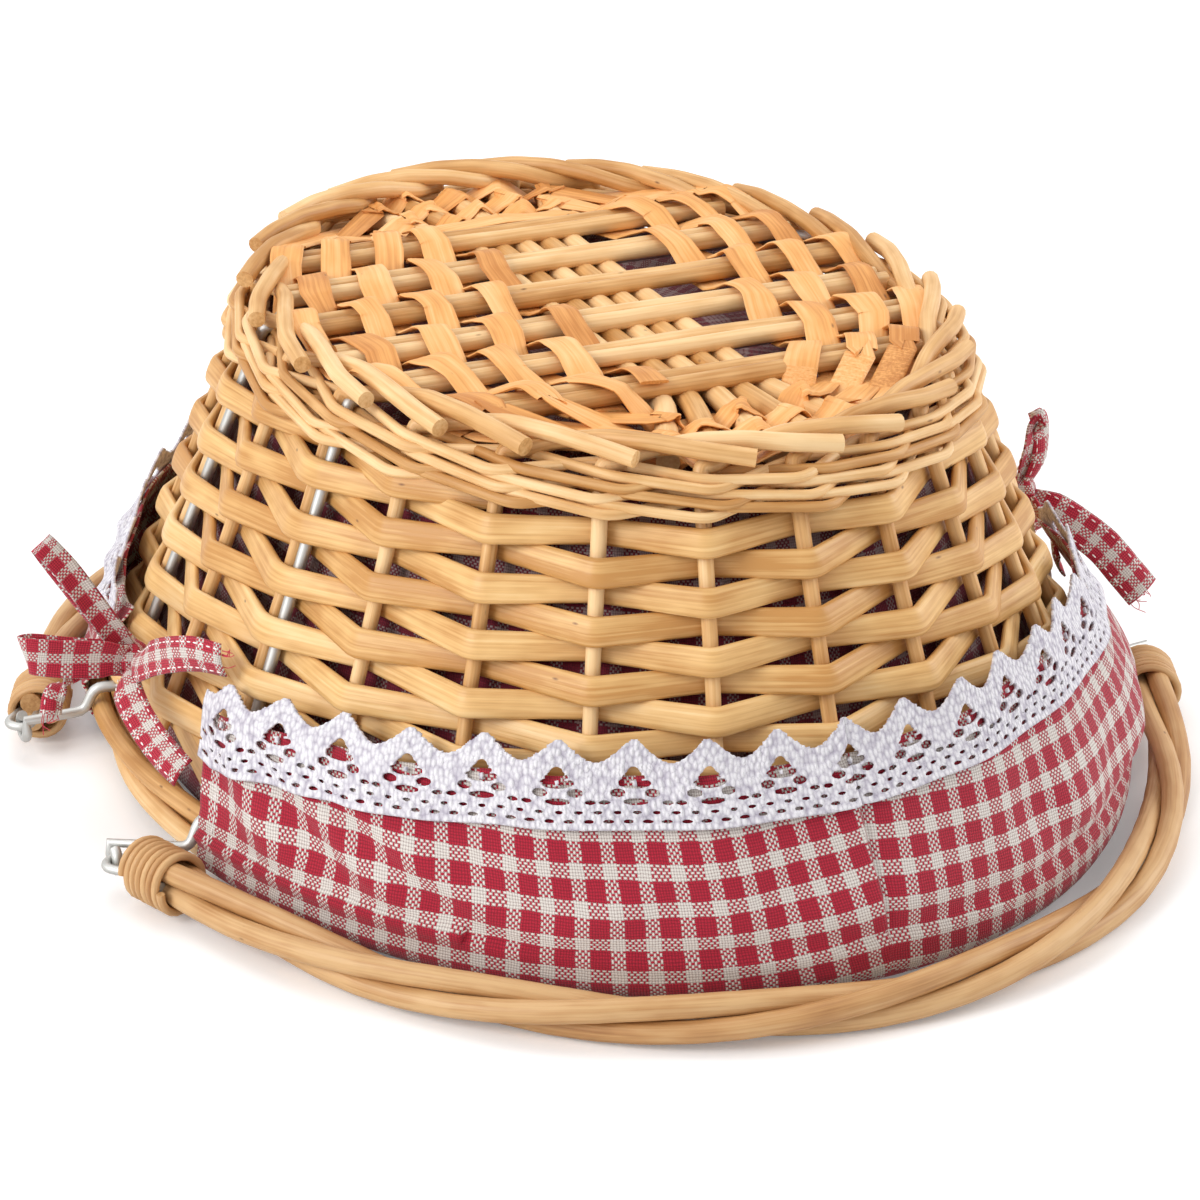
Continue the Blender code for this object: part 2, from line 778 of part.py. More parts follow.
def wire_end(side_x, side_y):
    """Half of a hinge wire: off the base, down inside the weave and round into its eye."""
    stake = {(1, 1): 0, (-1, 1): 1, (-1, -1): 2, (1, -1): 3}[(side_x, side_y)]
    number = hinge_stakes()[stake]

    def beside(height, offset=0.0):
        angle = number * SPACE
        return oval_point(angle + angle_of_length(angle, wire_beside_stake(), height), height, offset)

    along = wire_place_on_base()
    over_base = Vector((side_x * short_stick_half_length(along), side_y * along, BASE_STICK_HEIGHT))
    under_weave = RIM_HEIGHT + rim_outer() + HINGE_WIRE_RADIUS + 2 * GAP
    points = [
        over_base,
        beside(BASE_STICK_HEIGHT - GAP, -2.2 * HINGE_WIRE_RADIUS),
        beside(BASE_STICK_HEIGHT - 1.3 * HINGE_WIRE_RADIUS, -1.3 * HINGE_WIRE_RADIUS),
        beside(BORDER_HEIGHT - 3 * HINGE_WIRE_RADIUS),
        beside((BASE_HEIGHT + under_weave) / 2),
        beside(under_weave + HINGE_WIRE_RADIUS),
        beside(under_weave, HINGE_WIRE_RADIUS),
        beside(under_weave, rim_outer() + 2 * HINGE_WIRE_RADIUS),
    ]
    centre = Vector((side_x * eye_across(), side_y * hinge_along(), hinge_height()))
    inward = Vector((0.0, -side_y * ring_radius(), 0.0))
    upward = Vector((0.0, 0.0, ring_radius()))
    points.append(centre + inward + upward * 2)
    for step in range(EYE_STEPS + 1):
        turn = TURN * (1 - EYE_OPEN_SHARE) * step / EYE_STEPS
        points.append(centre + inward * math.cos(turn) - upward * math.sin(turn))
    return points


def build_hinge_wires(material, collection):
    for name, side_y in (("front", -1), ("rear", 1)):
        points = wire_end(-1, side_y)[::-1] + wire_end(1, side_y)
        link(round_rod(f"hinge_wire_{name}", points, HINGE_WIRE_RADIUS), material, collection)


# Cloth


def weave_outer():
    """Offset of the outermost face of the side weave."""
    return (STAKE_RADIUS + WEAVER_THICK + 2 * GAP) / LEAN_COSINE


def skirt_fold(share):
    """How far the skirt and its lace stand off the weave at this share of their length."""
    return SKIRT_FOLD_DEPTH * (1 - math.cos(TURN * SKIRT_FOLDS * share)) / 2


def cloth_offset():
    return max(weave_outer() + GAP + CLOTH_THICK / 2, cloth_at_mouth())


def panel_angle(share, side_y):
    """Angle round the oval at this share of a panel's length."""
    angle = SKIRT_END_ANGLE + (TURN / 2 - 2 * SKIRT_END_ANGLE) * share
    return side_y * angle


def skirt_section():
    """Section of the skirt, as offsets and heights: round the mouth border, then up the wall."""
    circle = cloth_at_mouth() / math.cos(HEM_STEP_ANGLE / 2)
    section = []
    for number in range(HEM_STEPS):
        turn = HEM_START_ANGLE + HEM_STEP_ANGLE * number
        section.append((circle * math.cos(turn), RIM_HEIGHT + circle * math.sin(turn)))
    for height in ((RIM_HEIGHT + SKIRT_TOP_HEIGHT) / 2, SKIRT_TOP_HEIGHT):
        section.append((cloth_offset(), height))
    return section


def build_panels(fabric, lace, collection):
    """Front and rear skirt panels with the lace along their free edges."""
    section = skirt_section()
    last = len(section) - 1
    for name, side_y in (("front", -1), ("rear", 1)):

        def on_skirt(along, up, side_y=side_y):
            share = along if side_y > 0 else 1 - along
            offset, height = section[round(up * last)]
            rim_top = RIM_HEIGHT + rim_outer()
            rise = max(height - rim_top, 0.0) / (SKIRT_TOP_HEIGHT - rim_top)
            middle = oval_point(panel_angle(share, side_y), height, offset + skirt_fold(share) * rise)
            if height < rim_top:
                middle = oval_point(panel_angle(share, side_y), RIM_HEIGHT, offset)
                middle.z = height
            return middle

        def on_lace(along, up, side_y=side_y):
            share = along if side_y > 0 else 1 - along
            scallop = LACE_SCALLOP_DEPTH * (1 - abs(math.sin(TURN / 2 * LACE_SCALLOPS * share)))
            height = SKIRT_TOP_HEIGHT + GAP + up * (LACE_HEIGHT - scallop)
            return oval_point(panel_angle(share, side_y), height, cloth_offset() + skirt_fold(share))

        skirt = mapped_grid(f"skirt_{name}", SKIRT_COLUMNS, last, on_skirt)
        thicken(skirt, CLOTH_THICK)
        link(skirt, fabric, collection)
        edging = mapped_grid(f"lace_{name}", 3 * LACE_SCALLOPS, 1, on_lace)
        thicken(edging, LACE_THICK)
        link(edging, lace, collection)


def build_lining(fabric, collection):
    """Cloth cup inside the weave, from the mouth up to the base."""
    mesh = bpy.data.meshes.new("lining")
    cup = bmesh.new()
    bmesh.ops.create_cone(
        cup, cap_ends=True, segments=LINING_SEGMENTS, radius1=1.0, radius2=1.0, depth=1.0)
    mouth_face = min(cup.faces, key=lambda face: face.calc_center_median().z)
    bmesh.ops.delete(cup, geom=[mouth_face], context="FACES_ONLY")
    for vert in cup.verts:
        angle = math.atan2(vert.co.y, vert.co.x)
        if vert.co.z > 0:
            vert.co = oval_point(angle, LINING_TOP_HEIGHT, -wale_reach() - GAP - CLOTH_THICK / 2)
        else:
            vert.co = oval_point(angle, RIM_HEIGHT, -cloth_at_mouth())
    cup.to_mesh(mesh)
    cup.free()
    lining = bpy.data.objects.new("lining", mesh)
    thicken(lining, CLOTH_THICK)
    link(lining, fabric, collection)


def ribbon(name, columns, middle, across):
    """Strip of ribbon whose middle line is a function of the share along it."""
    half_way = 0.5

    def on_strip(along, up):
        return middle(along) + across * (RIBBON_WIDTH * (up - half_way))

    strip = mapped_grid(name, columns, 1, on_strip)
    thicken(strip, CLOTH_THICK)
    return strip


def bow_heading(side_x, shares):
    """Direction from the knot, given for the right bow and turned half round for the left."""
    return Vector((side_x * shares[0], -side_x * shares[1], shares[2])).normalized()


def bow_loops(name, side_x, knot_at):
    """Ribbon loops that go out from the knot and come back to it."""
    loops = []
    for number, shares in enumerate(BOW_LOOP_HEADING_SHARES):
        out = bow_heading(side_x, shares)
        spread = Vector((side_x * BOW_LOOP_SPREAD_SHARES[0], *BOW_LOOP_SPREAD_SHARES[1:]))
        across = out.cross(spread).normalized()
        open_way = across.cross(out)

        def middle(share, out=out, open_way=open_way):
            reach = out * BOW_LOOP_LENGTH * math.sin(TURN / 2 * share)
            opening = BOW_LOOP_OPENING * math.sin(TURN * share) / 2
            return knot_at + reach + open_way * (opening + 2 * CLOTH_THICK * (1 - 2 * share))

        loops.append(ribbon(f"{name}_loop_{number}", BOW_LOOP_COLUMNS, middle, across))
    return loops


def bow_tails(name, side_x, knot_at):
    """Free ribbon ends that start inside the knot."""
    tails = []
    for number, shares in enumerate(BOW_TAIL_HEADING_SHARES):
        out = bow_heading(side_x, shares)
        across = out.cross(Vector((side_x, 0.0, 0.0))).normalized()
        length = BOW_TAIL_LENGTH * BOW_TAIL_LENGTH_SHARES[number]

        def middle(share, out=out, length=length):
            return knot_at + out * length * share

        tails.append(ribbon(f"{name}_tail_{number}", BOW_TAIL_COLUMNS, middle, across))
    return tails


def bow_straps(name, side_x, stand_off):
    """Ribbons from the knot along the wall to the corner of each skirt panel."""
    strap_end = SKIRT_END_ANGLE - angle_of_length(SKIRT_END_ANGLE, 1.5 * GAP, BOW_HEIGHT)
    straps = []
    for side_y in (-1, 1):

        def on_strap(share, up, side_y=side_y):
            height = BOW_HEIGHT + RIBBON_WIDTH * (up - 0.5 - share)
            lift = (stand_off - cloth_offset()) * (1 - share) ** 3
            spot = oval_point(side_y * strap_end * share, height, cloth_offset() + lift)
            return Vector((spot.x * side_x, spot.y, spot.z))

        strap = mapped_grid(f"{name}_strap_{side_y + 1}", BOW_STRAP_COLUMNS, 1, on_strap)
        thicken(strap, CLOTH_THICK)
        straps.append(strap)
    return straps


def build_bow(name, side_x, fabric, collection, helpers):
    """Ribbon bow at one end of the mouth: knot, two loops, two tails and a strap to each panel."""
    stand_off = cloth_offset() + KNOT_RADIUS + GAP
    knot_at = oval_point(0.0, BOW_HEIGHT, stand_off)
    knot_at.x *= side_x
    knot = built_mesh(name, lambda mesh: bmesh.ops.create_uvsphere(
        mesh, u_segments=KNOT_SEGMENTS, v_segments=KNOT_RINGS, radius=KNOT_RADIUS))
    knot.location = knot_at
    strips = bow_loops(name, side_x, knot_at) + bow_tails(name, side_x, knot_at)
    unite(knot, strips + bow_straps(name, side_x, stand_off), helpers)
    link(knot, fabric, collection)


def main():
    for obj in list(bpy.data.objects):
        bpy.data.objects.remove(obj)
    collection = bpy.data.collections.new("pie_basket")
    helpers = bpy.data.collections.new("helpers")
    for made in (collection, helpers):
        bpy.context.scene.collection.children.link(made)
    willow = new_material("buff willow", (0.80, 0.60, 0.35), 0.55)
    skein = new_material("split willow", (0.82, 0.52, 0.24), 0.55)
    steel = new_material("galvanised steel", (0.60, 0.61, 0.62), 0.40, 1.0)
    gingham = new_material("gingham cotton", (0.62, 0.10, 0.14), 0.90)
    cotton = new_material("cotton lace", (0.88, 0.86, 0.90), 0.90)
    build_stakes(willow, collection)
    build_weavers(willow, collection, helpers)
    build_wale(willow, collection)
    build_base_sticks(willow, collection, helpers)
    build_skeins(skein, collection, helpers)
    build_rim(willow, collection)
    build_hinge_wires(steel, collection)
    build_handle("front_handle", -1, willow, steel, collection, helpers)
    build_handle("rear_handle", 1, willow, steel, collection, helpers)
    build_lining(gingham, collection)
    build_panels(gingham, cotton, collection)
    build_bow("bow_left", -1, gingham, collection, helpers)
    build_bow("bow_right", 1, gingham, collection, helpers)


main()
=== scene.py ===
"""Looks of a pie basket: woven willow, gingham lining and skirt, crochet lace, bows and two handles.

The basket stands mouth down, as it is stored. X runs along the hinge axes, Y along the longer
side of the oval, Z up, all in metres. Places on the wall are given as an angle round the oval,
a height and an offset outwards from the middle of the wall.
"""

from __future__ import annotations

import logging
import math
import random
from dataclasses import dataclass, field
from enum import Enum
from typing import Any, Callable, Sequence

import bmesh
import bpy
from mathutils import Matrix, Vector, noise

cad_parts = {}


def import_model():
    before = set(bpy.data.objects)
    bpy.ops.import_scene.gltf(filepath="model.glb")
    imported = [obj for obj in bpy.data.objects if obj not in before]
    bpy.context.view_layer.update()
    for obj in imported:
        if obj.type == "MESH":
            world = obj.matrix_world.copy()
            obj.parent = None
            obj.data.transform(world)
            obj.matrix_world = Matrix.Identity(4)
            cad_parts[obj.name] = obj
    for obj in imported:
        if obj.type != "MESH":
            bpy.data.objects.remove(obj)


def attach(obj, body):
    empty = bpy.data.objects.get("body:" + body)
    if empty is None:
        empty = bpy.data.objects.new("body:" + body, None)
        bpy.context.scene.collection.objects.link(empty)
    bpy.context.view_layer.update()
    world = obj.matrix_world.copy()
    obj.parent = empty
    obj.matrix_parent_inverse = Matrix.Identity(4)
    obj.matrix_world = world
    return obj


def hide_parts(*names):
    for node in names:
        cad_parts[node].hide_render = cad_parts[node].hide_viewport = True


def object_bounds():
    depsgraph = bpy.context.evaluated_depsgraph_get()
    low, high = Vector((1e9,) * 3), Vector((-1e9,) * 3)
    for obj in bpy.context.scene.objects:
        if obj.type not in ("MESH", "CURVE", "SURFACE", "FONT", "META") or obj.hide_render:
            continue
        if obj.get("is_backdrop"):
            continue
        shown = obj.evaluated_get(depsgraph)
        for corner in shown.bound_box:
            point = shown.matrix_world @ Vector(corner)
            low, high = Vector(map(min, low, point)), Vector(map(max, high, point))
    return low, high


LOG = logging.getLogger("pie_basket")
TURN = 2 * math.pi
MM = 0.001
GAP = 0.0003
NOISE_SEED = 7
SHARP_ANGLE = math.radians(58)
UP = Vector((0.0, 0.0, 1.0))
Line = list[Vector]
Spot = tuple[float, float]
Route = Sequence[tuple[float, float, float]]


class Way(Enum):
    """One of two ways along an axis."""

    @property
    def word(self) -> str:
        """Name in small letters."""
        return self.name.lower()


class Side(Way):
    """Half of the basket that a handle and a skirt panel belong to."""

    FRONT = -1
    REAR = 1


class End(Way):
    """End of the hinge axes."""

    LEFT = -1
    RIGHT = 1


# Lines through space


def unit(value: float) -> float:
    """Keeps a share from 0 to 1."""
    return min(max(value, 0.0), 1.0)


def bump_at(distance: float) -> float:
    """Smooth rise to 1 at no distance, gone at about two."""
    return math.exp(-(distance**2))


def drift(point: Vector, length: float, seed: float = 0.0) -> float:
    """Slow chance from -1 to 1 that changes over this length."""
    return noise.noise(point / length + Vector((seed, 0.0, 0.0)))


def square_to(tangent: Vector, direction: Vector) -> Vector:
    """Direction turned square to a unit tangent."""
    return (direction - tangent * direction.dot(tangent)).normalized()


def rounded(points: Line, cut: float, steps: int = 4, cyclic: bool = False) -> Line:
    """Rounds the corners of a line.

    Args:
        points: Corners of the line.
        cut: How far from each corner its rounding begins.
        steps: Spans that each rounding is divided into.
        cyclic: Whether the line closes.

    Returns:
        Points of the rounded line.
    """
    made: Line = []
    count = len(points)
    for index, corner in enumerate(points):
        if not cyclic and index in (0, count - 1):
            made.append(corner.copy())
            continue
        start, end = (
            corner + way * min(cut / max(way.length, GAP), 0.45)
            for way in (points[index - 1] - corner, points[(index + 1) % count] - corner)
        )
        for step in range(steps + 1):
            share = step / steps
            made.append(start.lerp(corner, share).lerp(corner.lerp(end, share), share))
    return made


def curved(points: Line, spans: int, cyclic: bool = False) -> Line:
    """Smooth line through every point.

    Args:
        points: Points that the line passes.
        spans: Spans from each point to the next.
        cyclic: Whether the line closes.

    Returns:
        Points of the smooth line.
    """
    count = len(points)
    made: Line = []
    for index in range(count if cyclic else count - 1):
        b, c = points[index], points[(index + 1) % count]
        a = points[index - 1] if index or cyclic else b * 2 - c
        d = points[(index + 2) % count] if index + 2 < count or cyclic else c * 2 - b
        for step in range(spans):
            t = step / spans
            near = b * 2 + (c - a) * t + (a * 2 - b * 5 + c * 4 - d) * t**2
            made.append((near + (b * 3 - a - c * 3 + d) * t**3) / 2)
    return made if cyclic else made + [points[-1].copy()]


def line_length(points: Line) -> float:
    """Length of a line of points."""
    return sum((end - start).length for start, end in zip(points, points[1:]))


def along_line(points: Line, share: float) -> tuple[Vector, Vector]:
    """Finds a place on a line.

    Args:
        points: Points of the line.
        share: How far along it the place is, from 0 to 1.

    Returns:
        The point and the direction of the line there.
    """
    left = share * line_length(points)
    start, end = points[0], points[1]
    for start, end in zip(points, points[1:]):
        length = (end - start).length
        if left <= length:
            break
        left -= length
    return start.lerp(end, min(left / (end - start).length, 1.0)), (end - start).normalized()


def tangents(points: Line, cyclic: bool) -> Line:
    """Direction of a line at each of its points."""
    last = len(points) - 1
    if cyclic:
        return [(points[(k + 1) % (last + 1)] - points[k - 1]).normalized() for k in range(last + 1)]
    return [(points[min(k + 1, last)] - points[max(k - 1, 0)]).normalized() for k in range(last + 1)]


def turned_frames(points: Line, cyclic: bool) -> Line:
    """Carries a sideways direction along a line without twisting it.

    Args:
        points: Points of the line.
        cyclic: Whether the line closes.

    Returns:
        One direction for each point, square to the line.
    """
    ways = tangents(points, cyclic)
    side = ways[0].orthogonal().normalized()
    made: Line = []
    for index, way in enumerate(ways):
        if index:
            side = ways[index - 1].rotation_difference(way) @ side
        side = square_to(way, side)
        made.append(side.copy())
    if cyclic:
        carried = ways[-1].rotation_difference(ways[0]) @ made[-1]
        slip = math.atan2(carried.cross(made[0]).dot(ways[0]), carried.dot(made[0]))
        for index, way in enumerate(ways):
            turn = slip * index / len(points)
            made[index] = made[index] * math.cos(turn) + way.cross(made[index]) * math.sin(turn)
    return made


def wandering(points: Line, reach: float, length: float, seed: int) -> Line:
    """Moves a line's points a little, as grown rods wander.

    Args:
        points: Points of the line.
        reach: Farthest that a point may move.
        length: Length over which the wandering changes.
        seed: Which wandering to take.

    Returns:
        The moved points.
    """
    shift = Vector((seed * 3.7, seed * 1.3, -seed * 2.1))
    return [point + noise.noise_vector(point / length + shift) * reach for point in points]


# The wall of the basket


@dataclass(frozen=True)
class Wall:
    """Oval wall, leaning outwards towards the mouth."""

    base_half_width: float = 0.106
    base_half_length: float = 0.144
    base_height: float = 0.147
    lean: float = 0.40
    stakes: int = 24

    @property
    def space(self) -> float:
        """Angle between two stakes."""
        return TURN / self.stakes

    @property
    def lean_cosine(self) -> float:
        """Cosine of the wall's lean."""
        return math.cos(math.atan(self.lean))

    def halves(self, height: float, offset: float = 0.0) -> Spot:
        """Half width and half length of the oval at a height and an offset."""
        spread = (self.base_height - height) * self.lean + offset
        return self.base_half_width + spread, self.base_half_length + spread

    def point(self, angle: float, height: float, offset: float = 0.0) -> Vector:
        """Place on the wall at an angle and a height, an offset outwards."""
        across, along = self.halves(height, offset)
        return Vector((across * math.cos(angle), along * math.sin(angle), height))

    def outward(self, angle: float, height: float) -> Vector:
        """Direction square to the wall, away from the basket.

        Args:
            angle: Angle round the oval.
            height: Height above the ground.

        Returns:
            The direction.
        """
        along = self.point(angle + MM, height) - self.point(angle - MM, height)
        up = self.point(angle, height + MM) - self.point(angle, height - MM)
        return along.cross(up).normalized()

    def angle_of(self, angle: float, length: float, height: float) -> float:
        """Angle that a length along the wall takes up.

        Args:
            angle: Angle that it is near.
            length: The length.
            height: Height above the ground.

        Returns:
            The angle.
        """
        half = self.space / 2
        step = self.point(angle + half, height) - self.point(angle - half, height)
        return self.space * length / step.length


WALL = Wall()


# Geometry Nodes: a section swept along lines, and stitches set along a line


def feed(node: bpy.types.Node, inputs: dict[Any, Any]) -> None:
    """Sets or links a node's inputs.

    Args:
        node: The node.
        inputs: For each input's name or number, a value, an output, or a node for its first one in use.
    """
    for key, value in inputs.items():
        if isinstance(value, bpy.types.Node):
            value = next(output for output in value.outputs if output.enabled)
        if isinstance(value, bpy.types.NodeSocket):
            node.id_data.links.new(value, node.inputs[key])
        else:
            node.inputs[key].default_value = value


def add_node(
    tree: bpy.types.NodeTree, kind: str, inputs: dict[Any, Any] | None = None, **settings: Any
) -> bpy.types.Node:
    """Adds a node with its settings and links.

    Args:
        tree: Tree that gets the node.
        kind: Blender's name for the kind of node.
        inputs: What feeds its inputs, as in feed.
        settings: The node's own settings.

    Returns:
        The new node.
    """
    node = tree.nodes.new(kind)
    for key, value in settings.items():
        setattr(node, key, value)
    feed(node, inputs or {})
    return node


@dataclass
class Strand:
    """One rod, wire or strip: its line, and how its section lies and swells along it."""

    points: Line
    sides: Line | None = None
    girths: list[float] | None = None
    cyclic: bool = False


@dataclass(frozen=True)
class Section:
    """Section of a rod or strip. A squareness of 1 is an ellipse, and less is boxier."""

    width: float
    thick: float
    squareness: float = 1.0
    corners: int = 12


def round_section(radius: float, corners: int = 12) -> Section:
    """Section of a round rod or wire."""
    return Section(2 * radius, 2 * radius, corners=corners)


class NodeTool:
    """Geometry Nodes tree that is put on a carrier mesh and turned into a plain mesh."""

    def __init__(self, name: str, sizes: dict[str, float | int]) -> None:
        """Starts the tree with its named inputs.

        Args:
            name: Name of the tree.
            sizes: Each input's name and first value; a material follows them.
        """
        self.tree = bpy.data.node_groups.new(name, "GeometryNodeTree")
        face = self.tree.interface
        for way in ("INPUT", "OUTPUT"):
            face.new_socket("Geometry", in_out=way, socket_type="NodeSocketGeometry")
        self.sockets: dict[str, str] = {}
        for label, value in sizes.items():
            kind = "NodeSocketInt" if isinstance(value, int) else "NodeSocketFloat"
            socket = face.new_socket(label, in_out="INPUT", socket_type=kind)
            socket.default_value = value
            self.sockets[label] = socket.identifier
        socket = face.new_socket("Material", in_out="INPUT", socket_type="NodeSocketMaterial")
        self.sockets["Material"] = socket.identifier
        self.given = add_node(self.tree, "NodeGroupInput")

    def stroke(self) -> bpy.types.Node:
        """Turns the carrier's edges into curves that lie as their side attribute says."""
        curve = add_node(self.tree, "GeometryNodeMeshToCurve", {0: self.given})
        side = add_node(
            self.tree, "GeometryNodeInputNamedAttribute", {"Name": "side"}, data_type="FLOAT_VECTOR"
        )
        return add_node(self.tree, "GeometryNodeSetCurveNormal", {0: curve, "Normal": side}, mode="FREE")

    def close(self, geometry: bpy.types.Node) -> None:
        """Ends the tree in Realize Instances and Set Material."""
        real = add_node(self.tree, "GeometryNodeRealizeInstances", {0: geometry})
        given = {0: real, "Material": self.given.outputs["Material"]}
        dressed = add_node(self.tree, "GeometryNodeSetMaterial", given)
        add_node(self.tree, "NodeGroupOutput", {0: dressed})

    def run(self, name: str, strands: Sequence[Strand], values: dict[str, Any]) -> bpy.types.Object:
        """Makes a plain mesh from strands.

        Args:
            name: Name of the new piece.
            strands: Lines that the tree works along.
            values: The tree's inputs by name.

        Returns:
            The new object.
        """
        carrier = self._carrier(f"{name}_lines", strands)
        modifier = carrier.modifiers.new("nodes", "NODES")
        modifier.node_group = self.tree
        for label, value in values.items():
            modifier[self.sockets[label]] = value
        lines = carrier.data
        plain_mesh(carrier)
        bpy.data.meshes.remove(lines)
        carrier.name = carrier.data.name = name
        return carrier

    @staticmethod
    def _carrier(name: str, strands: Sequence[Strand]) -> bpy.types.Object:
        """Mesh of loose edges that holds the strands and what lies along them.

        Args:
            name: Name of the mesh.
            strands: The strands.

        Returns:
            The object.
        """
        points: Line = []
        edges: list[tuple[int, int]] = []
        sides: Line = []
        girths: list[float] = []
        for strand in strands:
            first = len(points)
            count = len(strand.points)
            points += strand.points
            edges += [(first + k, first + k + 1) for k in range(count - 1)]
            if strand.cyclic:
                edges.append((first + count - 1, first))
            sides += strand.sides or turned_frames(strand.points, strand.cyclic)
            girths += strand.girths or [1.0] * count
        mesh = bpy.data.meshes.new(name)
        mesh.from_pydata(points, edges, [])
        lying = mesh.attributes.new("side", "FLOAT_VECTOR", "POINT")
        lying.data.foreach_set("vector", [value for side in sides for value in side])
        mesh.attributes.new("girth", "FLOAT", "POINT").data.foreach_set("value", girths)
        return linked(bpy.data.objects.new(name, mesh))


class SweepTool(NodeTool):
    """Sweeps a rod's or strip's section along each strand and marks its grain."""

    def __init__(self) -> None:
        """Builds the tree."""
        sizes = {"Width": 0.005, "Thickness": 0.005, "Squareness": 1.0, "Corners": 12, "Seed": 1}
        super().__init__("swept_willow", sizes)
        tree, seed = self.tree, self.given.outputs["Seed"]
        profile = self._profile()
        girth = add_node(tree, "GeometryNodeInputNamedAttribute", {"Name": "girth"}, data_type="FLOAT")
        which = add_node(tree, "GeometryNodeInputIndex")
        rod = add_node(tree, "GeometryNodeFieldOnDomain", {0: which}, data_type="INT", domain="CURVE")
        chance = add_node(tree, "FunctionNodeRandomValue", {"ID": rod, "Seed": seed}, data_type="FLOAT")
        where = add_node(tree, "GeometryNodeSplineParameter")
        held = add_node(tree, "GeometryNodeCaptureAttribute", {0: self.stroke()}, domain="POINT")
        for label, source in (("length", where.outputs["Length"]), ("chance", chance.outputs["Value"])):
            held.capture_items.new("FLOAT", label)
            tree.links.new(source, held.inputs[label])
        inputs = {"Curve": held, "Profile Curve": profile, "Scale": girth, "Fill Caps": True}
        made = add_node(tree, "GeometryNodeCurveToMesh", inputs)
        tone = held.outputs["chance"]
        # Each rod's grain starts at a place of its own, up to 7 m along
        shift = add_node(tree, "ShaderNodeMath", {0: tone, 1: 7.0}, operation="MULTIPLY")
        far = add_node(tree, "ShaderNodeMath", {0: held.outputs["length"], 1: shift}, operation="ADD")
        apart = add_node(tree, "ShaderNodeSeparateXYZ", {0: profile.outputs["place"]})
        grain = add_node(tree, "ShaderNodeCombineXYZ", {0: far, 1: apart.outputs[0], 2: apart.outputs[1]})
        for label, source, kind in (("grain", grain, "FLOAT_VECTOR"), ("tone", tone, "FLOAT")):
            inputs = {0: made, "Name": label, "Value": source}
            made = add_node(tree, "GeometryNodeStoreNamedAttribute", inputs, data_type=kind, domain="POINT")
        smooth = add_node(tree, "GeometryNodeSetShadeSmooth", {0: made}, domain="FACE")
        angle = add_node(tree, "GeometryNodeInputMeshEdgeAngle")
        sharp = add_node(tree, "ShaderNodeMath", {0: angle, 1: SHARP_ANGLE}, operation="GREATER_THAN")
        inputs = {0: smooth, "Selection": sharp, "Shade Smooth": False}
        self.close(add_node(tree, "GeometryNodeSetShadeSmooth", inputs, domain="EDGE"))

    def _profile(self) -> bpy.types.Node:
        """Makes the section's outline.

        Returns:
            Node with the outline and the place of each of its points on the section.
        """
        tree, given = self.tree, self.given.outputs
        circle = add_node(
            tree, "GeometryNodeCurvePrimitiveCircle", {"Resolution": given["Corners"], "Radius": 1.0}
        )
        spot = add_node(tree, "GeometryNodeInputPosition")
        apart = add_node(tree, "ShaderNodeSeparateXYZ", {0: spot})
        place = add_node(tree, "ShaderNodeCombineXYZ")
        for axis, size in ((0, "Thickness"), (1, "Width")):
            far = add_node(tree, "ShaderNodeMath", {0: apart.outputs[axis]}, operation="ABSOLUTE")
            boxy = add_node(tree, "ShaderNodeMath", {0: far, 1: given["Squareness"]}, operation="POWER")
            way = add_node(tree, "ShaderNodeMath", {0: apart.outputs[axis]}, operation="SIGN")
            placed = add_node(tree, "ShaderNodeMath", {0: boxy, 1: way}, operation="MULTIPLY")
            half = add_node(tree, "ShaderNodeMath", {0: given[size], 1: 0.5}, operation="MULTIPLY")
            sized = add_node(tree, "ShaderNodeMath", {0: placed, 1: half}, operation="MULTIPLY")
            feed(place, {axis: sized})
        shaped = add_node(tree, "GeometryNodeSetPosition", {0: circle, "Position": place})
        after = add_node(tree, "GeometryNodeInputPosition")
        held = add_node(tree, "GeometryNodeCaptureAttribute", {0: shaped}, domain="POINT")
        held.capture_items.new("VECTOR", "place")
        feed(held, {"place": after})
        return held

    def lay(
        self,
        name: str,
        strands: Sequence[Strand],
        section: Section,
        material: bpy.types.Material,
        seed: int = 1,
    ) -> bpy.types.Object:
        """Sweeps one section along strands.

        Args:
            name: Name of the new piece.
            strands: Lines of the rods or strips.
            section: Their section.
            material: Their finish.
            seed: Which tones the rods get.

        Returns:
            The new piece.
        """
        values = {"Width": section.width, "Thickness": section.thick, "Squareness": section.squareness}
        values |= {"Corners": section.corners, "Seed": seed, "Material": material}
        return self.run(name, strands, values)


